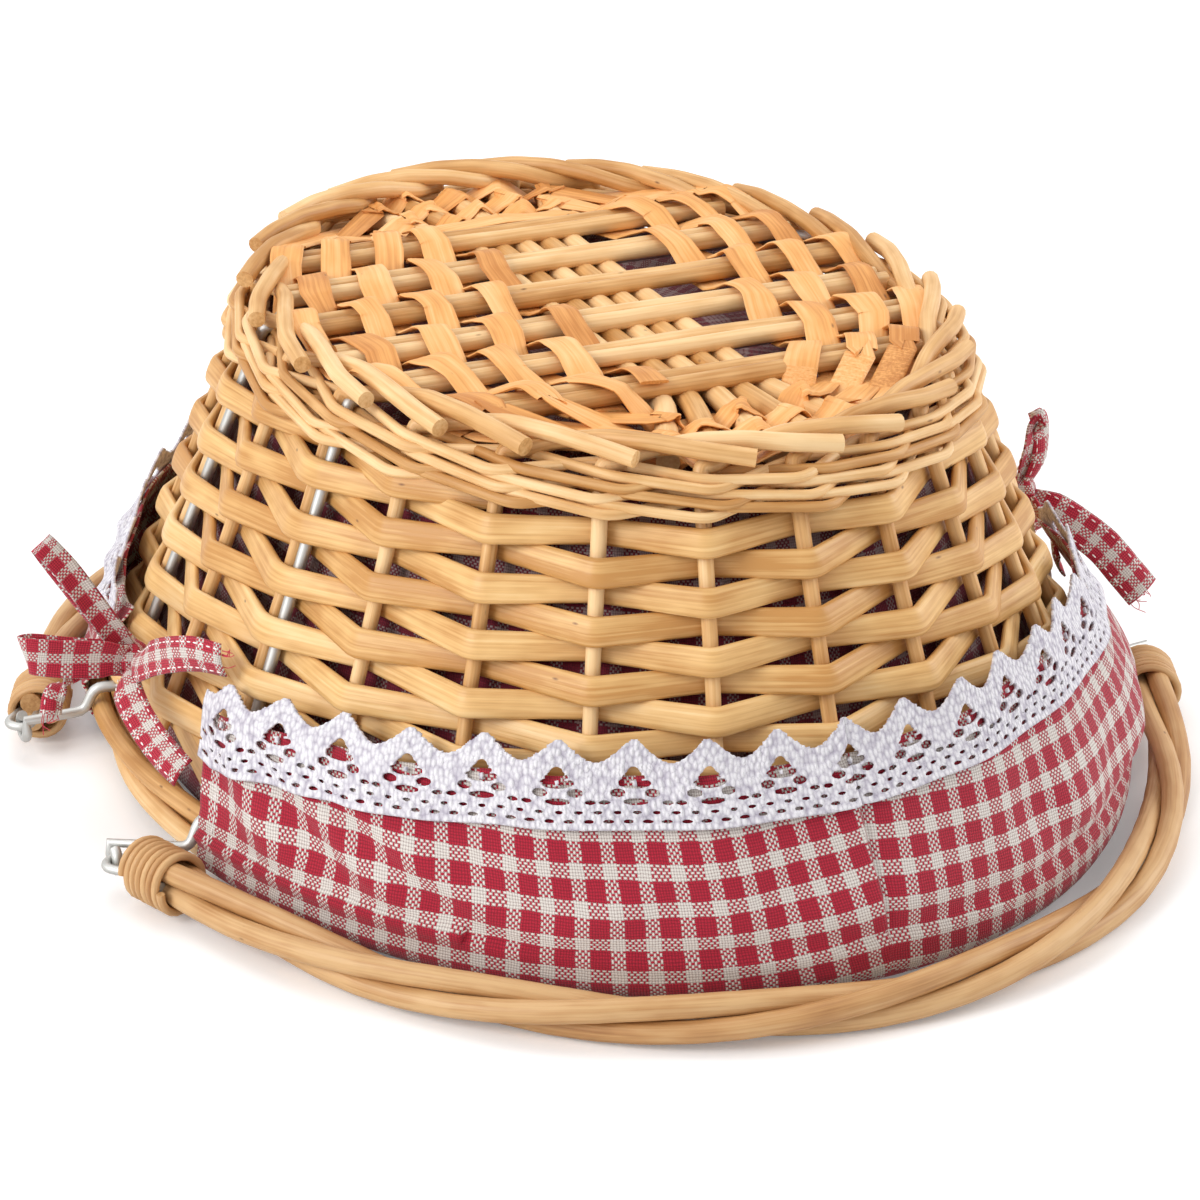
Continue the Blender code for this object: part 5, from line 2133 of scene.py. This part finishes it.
@dataclass
class LaceEdging:
    """Crochet edging along the skirt's free edge, with scallops upwards."""

    skirt: Skirt
    height: float = 0.0255
    thick: float = 0.0009
    scallop: float = 0.0222
    cell: float = 0.00052
    stations: int = 240
    # Middle and half sizes of the holes in one scallop, in mm
    holes: tuple[tuple[float, float, float, float], ...] = (
        (0.0, 12.9, 4.8, 1.5), (0.0, 14.2, 3.3, 2.2), (0.0, 15.6, 1.9, 2.0), (-4.9, 10.2, 2.2, 1.15),
        (4.9, 10.2, 2.2, 1.15), (0.0, 7.8, 3.6, 0.9), (-8.9, 7.6, 1.6, 0.6), (8.9, 7.6, 1.6, 0.6),
    )

    def outside(self, s: float, h: float, pitch: float) -> float:
        """Distance to the lace's pattern: below 0 there is thread, above 0 a hole or the open air.

        Args:
            s: Place along the edging.
            h: Height on it.
            pitch: Length of one scallop.

        Returns:
            The distance in metres, roughly.
        """
        x = ((s / pitch) % 1.0 - 0.5) * pitch
        far = abs(x) / (pitch / 2)
        knob = 1.6 * bump_at(x / (2.8 * MM)) - 1.6
        picot = 0.12 * math.cos(TURN * x / (1.7 * MM))
        found = h - self.height - (knob - 2.6 * (1 - math.cos(math.pi * far)) - picot) * MM
        for cx, cy, half_x, half_y in self.holes:
            dx, dy = (x - cx * MM) / (half_x * MM), (h - cy * MM) / (half_y * MM)
            reach = math.sqrt(dx * dx + dy * dy)
            found = max(found, (1 - reach) * half_y * MM)
        for shift, high, half_x, half_y in ((0.0, 2.4, 1.5, 0.55), (0.5, 4.9, 1.2, 0.5)):
            slot = ((s / (pitch / 4) + shift) % 1.0 - 0.5) * pitch / 4
            reach = math.sqrt((slot / (half_x * MM)) ** 2 + ((h - high * MM) / (half_y * MM)) ** 2)
            found = max(found, (1 - reach) * 0.5 * MM)
        up = h - 13.4 * MM
        web = min(abs(x - 0.8 * up - 0.8 * MM), abs(x + 1.0 * up + 0.9 * MM), abs(up - 0.16 * x)) - 0.22 * MM
        if math.hypot(x, up * 1.3) < 5.0 * MM:
            found = min(found, web)
        return found

    def place(self, s: float, h: float, length: float) -> Vector:
        """Point of the edging on the wall.

        Args:
            s: Place along it.
            h: Height on it.
            length: Its whole length.

        Returns:
            The point.
        """
        along = s / length
        share = along if self.skirt.side is Side.REAR else 1 - along
        angle = self.skirt.angle(share, self.skirt.top_height)
        curl = 0.4 * MM * math.sin(TURN * s / self.scallop) * h / self.height
        lift = 0.6 * MM * (noise.noise(Vector((share * 30, h * 60, 5.0))) + 1)
        over = 1.1 * MM + 0.5 * MM * max(1 - h / (4 * MM), 0.0)
        if self.skirt.side is Side.REAR:
            over += 8 * MM * max(1 - (1 - share) / 0.06, 0.0) * h / self.height
        height = self.skirt.top(angle) - 1.2 * MM + h * WALL.lean_cosine
        return self.on_panel(along, height) + WALL.outward(angle, height) * (over + lift + curl)

    def lines(self) -> list[Line]:
        """Lines up the panel that the edging follows, each carried on up the wall.

        Returns:
            The lines.
        """
        made = []
        for station in range(self.stations + 1):
            line = [self.skirt.place(station / self.stations, 0.5 + 0.5 * k / 8) for k in range(9)]
            share = station / self.stations
            share = share if self.skirt.side is Side.REAR else 1 - share
            angle = self.skirt.angle(share, self.skirt.top_height)
            up = WALL.point(angle, line[-1].z + 0.02) - WALL.point(angle, line[-1].z)
            made.append(line + [line[-1] + up])
        return made

    def on_panel(self, along: float, height: float) -> Vector:
        """Point of the panel at a share along it and a true height.

        Args:
            along: Share along it.
            height: Height above the ground.

        Returns:
            The point.
        """
        at = unit(along) * self.stations
        index = min(int(at), self.stations - 1)
        found = []
        for line in self._lines[index : index + 2]:
            number = next((k for k in range(1, len(line)) if line[k].z >= height), len(line) - 1)
            low, high = line[number - 1], line[number]
            found.append(low + (high - low) * ((height - low.z) / (high.z - low.z)))
        return found[0] + (found[1] - found[0]) * (at - index)

    def build(self, shop: Workshop) -> None:
        """Makes the edging, with every hole cut through.

        Args:
            shop: Tools and finishes.
        """
        name = self.skirt.side.word
        self._lines = self.lines()
        mid, high = self.height / 2, self.skirt.top_height
        ends = [WALL.point(self.skirt.angle(k / 80, high), high + mid) for k in range(81)]
        length = line_length(ends)
        pitch = length / round(length / self.scallop)
        columns = round(length / self.cell)
        rows = round(self.height / self.cell) + 1
        step_s, step_h = length / columns, self.height / (rows - 1)
        values = {}
        for column in range(columns + 1):
            for row in range(rows + 1):
                values[column, row] = self.outside(column * step_s, row * step_h, pitch)
        shape = bmesh.new()
        layer = shape.loops.layers.uv.new("cloth")
        verts: dict[tuple[int, int], Any] = {}

        def vert(column: int, row: int) -> Any:
            """Vertex at a grid place, pulled onto the pattern's edge where that is near."""
            if (column, row) not in verts:
                s, h = column * step_s, row * step_h
                value = values[column, row]
                if abs(value) < 0.75 * self.cell:
                    e = 0.0001
                    slope_s = (self.outside(s + e, h, pitch) - self.outside(s - e, h, pitch)) / (2 * e)
                    slope_h = (self.outside(s, h + e, pitch) - self.outside(s, h - e, pitch)) / (2 * e)
                    steep = max(slope_s**2 + slope_h**2, 0.25)
                    s -= 0.8 * value * slope_s / steep
                    h -= 0.8 * value * slope_h / steep
                s = min(max(s, 0.0), length)
                made = shape.verts.new(self.place(s, max(h, 0.0), length))
                verts[column, row] = (made, s, h)
            return verts[column, row]

        for column in range(columns):
            for row in range(rows):
                middle = self.outside((column + 0.5) * step_s, (row + 0.5) * step_h, pitch)
                if middle > 0:
                    continue
                square = ((column, row), (column + 1, row), (column + 1, row + 1), (column, row + 1))
                corners = [vert(*spot) for spot in square]
                face = shape.faces.new([corner[0] for corner in corners])
                face.smooth = True
                for loop, (_, s, h) in zip(face.loops, corners):
                    loop[layer].uv = (s, h)
        mesh = bpy.data.meshes.new(f"lace_{name}_edging")
        split_pinches(shape)
        bmesh.ops.recalc_face_normals(shape, faces=shape.faces)
        shape.to_mesh(mesh)
        shape.free()
        edging = linked(bpy.data.objects.new(f"lace_{name}_edging", mesh))
        dress(edging, shop.lace)
        thickened(edging, self.thick)
        seat(edging, "basket", "lace_cotton", f"lace_{name}")


def split_pinches(shape: bmesh.types.BMesh) -> None:
    """Removes single faces that touch the rest of a sheet only at corners.

    Args:
        shape: The sheet.
    """
    for _ in range(3):
        lone = [face for face in shape.faces if sum(len(edge.link_faces) > 1 for edge in face.edges) < 2]
        if not lone:
            break
        bmesh.ops.delete(shape, geom=lone, context="FACES")
    for vert in list(shape.verts):
        borders = [edge for edge in vert.link_edges if len(edge.link_faces) == 1]
        if len(borders) > 2 and len(vert.link_faces) == 2:
            bmesh.utils.vert_separate(vert, borders)
    bmesh.ops.delete(shape, geom=[vert for vert in shape.verts if not vert.link_faces], context="VERTS")


@dataclass
class Ribbon:
    """One stretch of gingham ribbon: its middle line and the way its width lies."""

    points: Line
    widths: Line
    width: float = 0.0130

    def lying(self, index: int) -> tuple[Vector, Vector]:
        """How the ribbon lies at one of its points.

        Args:
            index: Which point.

        Returns:
            Directions across the ribbon and square to it.
        """
        way = self.points[min(index + 1, len(self.points) - 1)] - self.points[max(index - 1, 0)]
        across = self.widths[index]
        across = (across - way * across.dot(way) / max(way.length_squared, 1e-12)).normalized()
        return across, way.cross(across).normalized()

    def curl(self, index: int, off: float) -> float:
        """Rise of the ribbon at a share of its width off the middle of one of its points."""
        return 0.9 * MM * (1 - (2 * off) ** 2) * (1 + math.sin(9 * index / (len(self.points) - 1)))


@dataclass
class Bow:
    """Ribbon bow that ties the two skirt panels together at one end of the mouth."""

    end: End
    cloth: ClothSizes
    knot_radius: float = 0.0066
    ribbon_width: float = 0.0130
    pinch_length: float = 0.012
    strap_width: float = 0.0100
    strap_halves: Spot = (0.150, 0.186)
    strap_run: float = 0.17

    @property
    def middle(self) -> Vector:
        """Middle of the knot."""
        return Vector((-0.1585, 0.012, 0.0485) if self.end is End.LEFT else (0.1520, -0.015, 0.0660))

    def strap(self, side: Side, drop: float, reach: float) -> Ribbon:
        """Ribbon from the knot along the wall to the corner of a skirt panel.

        Args:
            side: Which panel.
            drop: How much lower the corner is.
            reach: Angle from the hinge axis to the corner.

        Returns:
            The ribbon.
        """
        points, widths = [], []
        sign = self.end.value
        knot = math.atan2(self.middle.y / self.strap_halves[1], abs(self.middle.x) / self.strap_halves[0])
        for step in range(17):
            share = step / 16
            angle = knot + (side.value * reach - knot) * share
            lift = self.knot_radius * (1 - share) ** 2.0 + 2.4 * MM + 2.0 * MM * math.sin(math.pi * share)
            height = self.middle.z - drop * share
            at = WALL.point(angle, height, self.cloth.on_weave + lift)
            outward = WALL.outward(angle, height)
            side_on = Vector((-math.sin(angle), math.cos(angle), 0.0)) * (side.value * reach - knot)
            way = (side_on - UP * drop / self.strap_run).normalized()
            across = way.cross(outward).normalized()
            points.append(Vector((at.x * sign, at.y, at.z)))
            widths.append(Vector((across.x * sign, across.y, across.z)))
        return Ribbon(points, widths, self.strap_width)

    def free(self, width: float, route: Route, leans: Route) -> Ribbon:
        """Free stretch of ribbon.

        Args:
            width: Its width in millimetres.
            route: Points in millimetres.
            leans: Direction of the width at each of them.

        Returns:
            The ribbon.
        """
        spans = 6
        points = curved([Vector(point) * MM for point in route], spans)
        widths = [way.normalized() for way in curved([Vector(lean).normalized() for lean in leans], spans)]
        return Ribbon(points, widths, width * MM)

    def ribbons(self) -> list[Ribbon]:
        """Every stretch of the bow's ribbon, the free tails last.

        Returns:
            The stretches.
        """
        if self.end is End.LEFT:
            loop_up = self.free(
                8.0,
                [
                    (-158, 10, 50), (-165, 9, 60), (-172, 9, 72), (-179, 10, 84), (-185, 12, 92),
                    (-185, 15, 91), (-177, 17, 78), (-168, 16, 64), (-159, 14, 51),
                ],
                [
                    (0.9, 0, 0.5), (0.85, -0.1, 0.5), (0.85, 0, 0.5), (0.85, 0.1, 0.5), (0.8, 0.2, 0.5),
                    (0.8, 0.2, 0.5), (0.85, 0.1, 0.5), (0.85, 0, 0.5), (0.9, 0, 0.5),
                ],
            )
            loop_side = self.free(
                12.5,
                [
                    (-158, 9, 49), (-167, 6, 52), (-178, 6, 54), (-188, 8, 55.5), (-193.5, 12, 56),
                    (-190, 17, 54), (-180, 18, 51), (-168, 16, 49), (-159, 14, 48),
                ],
                [
                    (0.3, 0, 1), (0.1, 0, 1), (0, 0.1, 1), (-0.15, 0.1, 1), (-0.25, 0.2, 1),
                    (-0.2, 0.2, 1), (0, 0.1, 1), (0.1, 0, 1), (0.2, 0, 1),
                ],
            )
            small = self.free(
                7.0,
                [(-162, 15, 46), (-172, 18, 45), (-180, 17, 42), (-184.5, 15, 38), (-186, 14, 33)],
                [(0.2, 0, 1), (0.4, 0, 0.9), (0.7, 0, 0.6), (0.9, 0, 0.3), (0.95, 0, 0.2)],
            )
            tail = self.free(
                11.5,
                [
                    (-159, 8, 49), (-160, -4, 53), (-159.5, -15, 60), (-157, -27, 66),
                    (-152, -38, 70), (-146.5, -48, 71),
                ],
                [(0.4, 0, 0.9), (0.4, 0.1, 0.9), (0.2, 0.2, 1), (0.1, 0, 1), (0.05, -0.1, 1), (0, -0.25, 1)],
            )
            corner = self.free(
                10.0,
                [
                    (-160, 8, 47), (-165, -4, 46), (-166, -16, 43), (-165, -28, 39.5),
                    (-163, -38, 36.5), (-160.5, -46, 34),
                ],
                [
                    (0.8, 0, 0.5), (0.8, 0.2, 0.5), (0.8, 0.1, 0.5), (0.75, 0, 0.55),
                    (0.7, -0.1, 0.6), (0.6, -0.2, 0.7),
                ],
            )
            rear = self.strap(Side.REAR, 0.006, math.radians(14))
            return [corner, rear, loop_up, loop_side, tail, small]
        loop_up = self.free(
            8.5,
            [
                (151, -17, 68), (151, -20, 76), (152, -22, 85), (152.5, -22, 93), (155, -21, 94),
                (157, -19, 88), (157, -18, 79), (154, -16, 70),
            ],
            [
                (0.8, 0.5, 0.2), (0.9, 0.4, 0), (0.9, 0.4, -0.1), (0.8, 0.5, 0), (0.8, 0.5, 0),
                (0.9, 0.4, 0), (0.9, 0.4, 0), (0.8, 0.5, 0.1),
            ],
        )
        tail = self.free(
            13.0,
            [(153, -16, 65), (159, -25, 62), (166, -31, 57), (174, -35, 50), (181, -38, 41), (188, -40, 32)],
            [(0.1, 0, 1), (0.4, 0, 0.9), (0.6, 0, 0.8), (0.7, 0, 0.7), (0.8, 0, 0.6), (0.85, 0, 0.5)],
        )
        front = self.strap(Side.FRONT, 0.014, math.radians(15))
        rear = self.strap(Side.REAR, 0.014, math.radians(14))
        small = self.free(
            8.0,
            [(154, -14, 64), (160, -10, 60), (165, -6, 53), (168, -2, 46)],
            [(0.1, 0, 1), (0.5, 0, 0.9), (0.7, 0, 0.7), (0.8, 0, 0.5)],
        )
        return [front, rear, loop_up, tail, small]

    def strip(self, name: str, ribbon: Ribbon) -> bpy.types.Object:
        """Open sheet of one stretch, slightly curled across its width.

        Args:
            name: Name of the sheet.
            ribbon: The stretch.

        Returns:
            The sheet.
        """
        long = line_length(ribbon.points)
        last = len(ribbon.points) - 1

        def place(along: float, up: float) -> Vector:
            """Point of the ribbon."""
            index = round(along * last)
            across, out = ribbon.lying(index)
            pinch = 0.45 + 0.55 * min(along * long / self.pinch_length, 1.0)
            wide = across * ribbon.width * pinch * (up - 0.5)
            return ribbon.points[index] + wide + out * ribbon.curl(index, up - 0.5)

        return woven_sheet(name, (last, 6), (long, ribbon.width), place)

    def knot(self, name: str) -> bpy.types.Object:
        """Lump of gathered ribbon at the middle of the bow.

        Args:
            name: Name of the piece.

        Returns:
            The lump.
        """
        middle = self.middle

        def place(along: float, up: float) -> Vector:
            """Point of the knot."""
            turn, rise = TURN * along, math.pi * (0.02 + 0.96 * up)
            fold = 1 + 0.10 * math.sin(5 * turn + 3 * up) * math.sin(rise)
            wide = math.sin(rise) * self.knot_radius * fold
            high = -math.cos(rise) * self.knot_radius
            return middle + Vector((0.85 * wide * math.cos(turn), wide * math.sin(turn), high))

        sheet = woven_sheet(name, (36, 14), (0.045, 0.022), place, cyclic=True)
        shape = bmesh.new()
        shape.from_mesh(sheet.data)
        bmesh.ops.holes_fill(shape, edges=[edge for edge in shape.edges if edge.is_boundary], sides=0)
        bmesh.ops.recalc_face_normals(shape, faces=shape.faces)
        shape.to_mesh(sheet.data)
        shape.free()
        return sheet

    def threads(self, name: str, shop: Workshop) -> bpy.types.Object:
        """Frayed threads at the ends of the tails.

        Args:
            name: Name of the piece.
            shop: Tools and finishes.

        Returns:
            The threads.
        """
        rng = random.Random(self.end.value + 7)
        strands = []
        for ribbon in self.ribbons()[-2:]:
            for _ in range(9):
                shift = rng.uniform(-0.5, 0.5) * ribbon.width
                start = ribbon.points[-1] + ribbon.widths[-1] * shift
                way = (ribbon.points[-1] - ribbon.points[-3]).normalized()
                bend = Vector((rng.uniform(-1, 1), rng.uniform(-1, 1), rng.uniform(-0.4, 1.4))) * 0.5
                long = rng.uniform(1.5, 6.0) * MM
                line = [start - way * MM, start + way * long / 2, start + (way + bend) * long]
                strands.append(Strand(curved(line, 3)))
        section = round_section(0.14 * MM, corners=5)
        return shop.sweep.lay(name, strands, section, shop.red_thread)

    def build(self, shop: Workshop) -> None:
        """Ties the bow.

        Args:
            shop: Tools and finishes.
        """
        name = f"bow_{self.end.word}"
        strips = [self.strip(f"{name}_{k}", ribbon) for k, ribbon in enumerate(self.ribbons())]
        area = sum(sheet_area(strip) for strip in strips)
        for strip in strips:
            thickened(strip, 0.7 * MM)
        knot = self.knot(f"{name}_knot")
        shape = bmesh.new()
        for part in strips:
            shape.from_mesh(part.data)
            bpy.data.objects.remove(part)
        mesh = bpy.data.meshes.new(f"{name}_ribbon")
        shape.to_mesh(mesh)
        shape.free()
        mesh.shade_smooth()
        ribbon = dress(linked(bpy.data.objects.new(f"{name}_ribbon", mesh)), shop.ribbon)
        seat(ribbon, "basket", "ribbon", name)
        seat(dress(knot, shop.ribbon), "basket", "ribbon")
        frayed = seat(self.threads(f"{name}_threads", shop), "basket", "ribbon")
        rows = []
        for stretch in self.ribbons():
            for edge in (-0.36, 0.36):
                line, sides = [], []
                for index in range(3, len(stretch.points) - 1):
                    across, out = stretch.lying(index)
                    rise = out * (stretch.curl(index, edge) + 0.35 * MM)
                    line.append(stretch.points[index] + across * stretch.width * edge + rise)
                    sides.append(out)
                rows.append(Strand(line, sides=sides))
        stitches = shop.stitches.sew(f"{name}_stitches", rows, 2.9 * MM, 1.9 * MM, shop.white_thread)
        seat(stitches, "basket", "ribbon")


# Studio


@dataclass
class Studio:
    """Pale floor, soft light and the camera."""

    azimuth: float = math.radians(-23.5)
    elevation: float = math.radians(22.1)
    distance: float = 1.290
    target: tuple[float, float, float] = (0.0, 0.0, 0.09)
    lens: float = 116.9
    shift: Spot = (0.0022, -0.1015)
    floor: str = "#F4F4F5"
    floor_reach: float = 6.0

    def camera(self) -> None:
        """Sets up the camera at the photographed angle."""
        data = bpy.data.cameras.new("camera")
        data.lens, data.sensor_width = self.lens, 36.0
        data.shift_x, data.shift_y = self.shift
        obj = linked(bpy.data.objects.new("camera", data))
        flat = math.cos(self.elevation)
        across, along = math.sin(self.azimuth) * flat, -math.cos(self.azimuth) * flat
        back = Vector((across, along, math.sin(self.elevation)))
        obj.location = Vector(self.target) + back * self.distance
        obj.rotation_mode = "QUATERNION"
        obj.rotation_quaternion = (-back).to_track_quat("-Z", "Y")
        bpy.context.scene.camera = obj

    def ground(self) -> None:
        """Lays the floor: pale to the light, and lifted to white where the camera sees it."""
        mesh = bpy.data.meshes.new("floor")
        reach = self.floor_reach
        corners = [(x * reach, y * reach, 0) for x, y in ((-1, -1), (1, -1), (1, 1), (-1, 1))]
        mesh.from_pydata(corners, [], [(0, 1, 2, 3)])
        floor = linked(bpy.data.objects.new("floor", mesh))
        material, tree, shader = new_material("pale_paper_floor")
        seen = add_node(tree, "ShaderNodeLightPath").outputs["Is Camera Ray"]
        lift = add_node(tree, "ShaderNodeMath", {0: seen, 1: 0.16}, operation="MULTIPLY")
        feed(shader, {"Base Color": linear(self.floor), "Roughness": 0.9, "Specular IOR Level": 0.1})
        feed(shader, {"Emission Color": (1.0, 1.0, 1.0, 1.0), "Emission Strength": lift})
        dress(floor, material)
        floor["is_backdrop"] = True

    def sky(self) -> None:
        """Gives even light, and a white backdrop to the eye and to reflections."""
        world = bpy.data.worlds.new("studio")
        world.use_nodes = True
        tree = world.node_tree
        path = add_node(tree, "ShaderNodeLightPath").outputs
        inputs = {0: path["Is Camera Ray"], 1: path["Is Glossy Ray"]}
        either = add_node(tree, "ShaderNodeMath", inputs, operation="MAXIMUM")
        inputs = {0: either, 1: path["Is Transmission Ray"]}
        any_of = add_node(tree, "ShaderNodeMath", inputs, operation="MAXIMUM")
        strength = add_node(tree, "ShaderNodeMapRange", {"Value": any_of, "To Min": 0.62, "To Max": 1.0})
        feed(tree.nodes["Background"], {"Color": (1.0, 1.0, 1.0, 1.0), "Strength": strength})
        bpy.context.scene.world = world

    def lamp(self, name: str, place: Vector, size: float, power: float) -> None:
        """Hangs one soft lamp.

        Args:
            name: Its name.
            place: Where it hangs; it faces the basket.
            size: Side of its square.
            power: Its power in watts.
        """
        data = bpy.data.lights.new(name, "AREA")
        data.size, data.energy = size, power
        obj = linked(bpy.data.objects.new(name, data))
        obj.location = place
        obj.rotation_mode = "QUATERNION"
        obj.rotation_quaternion = (Vector(self.target) - place).to_track_quat("-Z", "Y")

    def build(self) -> None:
        """Sets up the whole studio."""
        self.camera()
        self.ground()
        self.sky()
        self.lamp("key", Vector((-1.8, -0.3, 1.1)), 1.0, 25.0)
        self.lamp("fill", Vector((1.8, -0.4, 1.0)), 1.3, 21.0)
        self.lamp("top", Vector((-0.1, 0.6, 1.7)), 1.2, 8.0)
        bpy.context.scene.view_settings.view_transform = "Standard"


def report_sizes(before: tuple[Vector, Vector]) -> None:
    """Writes the box of the solids and the box of the dressed basket.

    Args:
        before: Lowest and highest corner of the solids.
    """
    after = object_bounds()
    boxes = {"cad": [list(corner) for corner in before], "visual": [list(corner) for corner in after]}
    LOG.info("solids %s, dressed %s", boxes["cad"], boxes["visual"])


def main() -> None:
    """Builds the basket's pieces in order and sets up the studio."""
    logging.basicConfig(level=logging.INFO, format="%(name)s: %(message)s")
    # Without a seed, the rods' wandering would start from the clock
    noise.seed_set(NOISE_SEED)
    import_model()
    before = tuple(Vector(corner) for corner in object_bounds())
    shop = Workshop()
    border = MouthBorder()
    stakes = Stakes(border)
    weave = SideWeave(stakes)
    wale = FootWale(stakes)
    base = BaseWork()
    sizes = HandleSizes(border)
    cloth = ClothSizes(border, stakes)
    border.build(shop)
    for part in (stakes, weave, wale, base, HingeWires(sizes, stakes, base), Lining(cloth, wale)):
        part.build(shop)
    for side in Side:
        skirt = Skirt(side, cloth)
        skirt.build(shop)
        LaceEdging(skirt).build(shop)
        Handle(side, sizes).build(shop)
    for end in End:
        Bow(end, cloth).build(shop)
    Studio().build()
    report_sizes((before[0], before[1]))


if __name__ == "__main__":
    main()
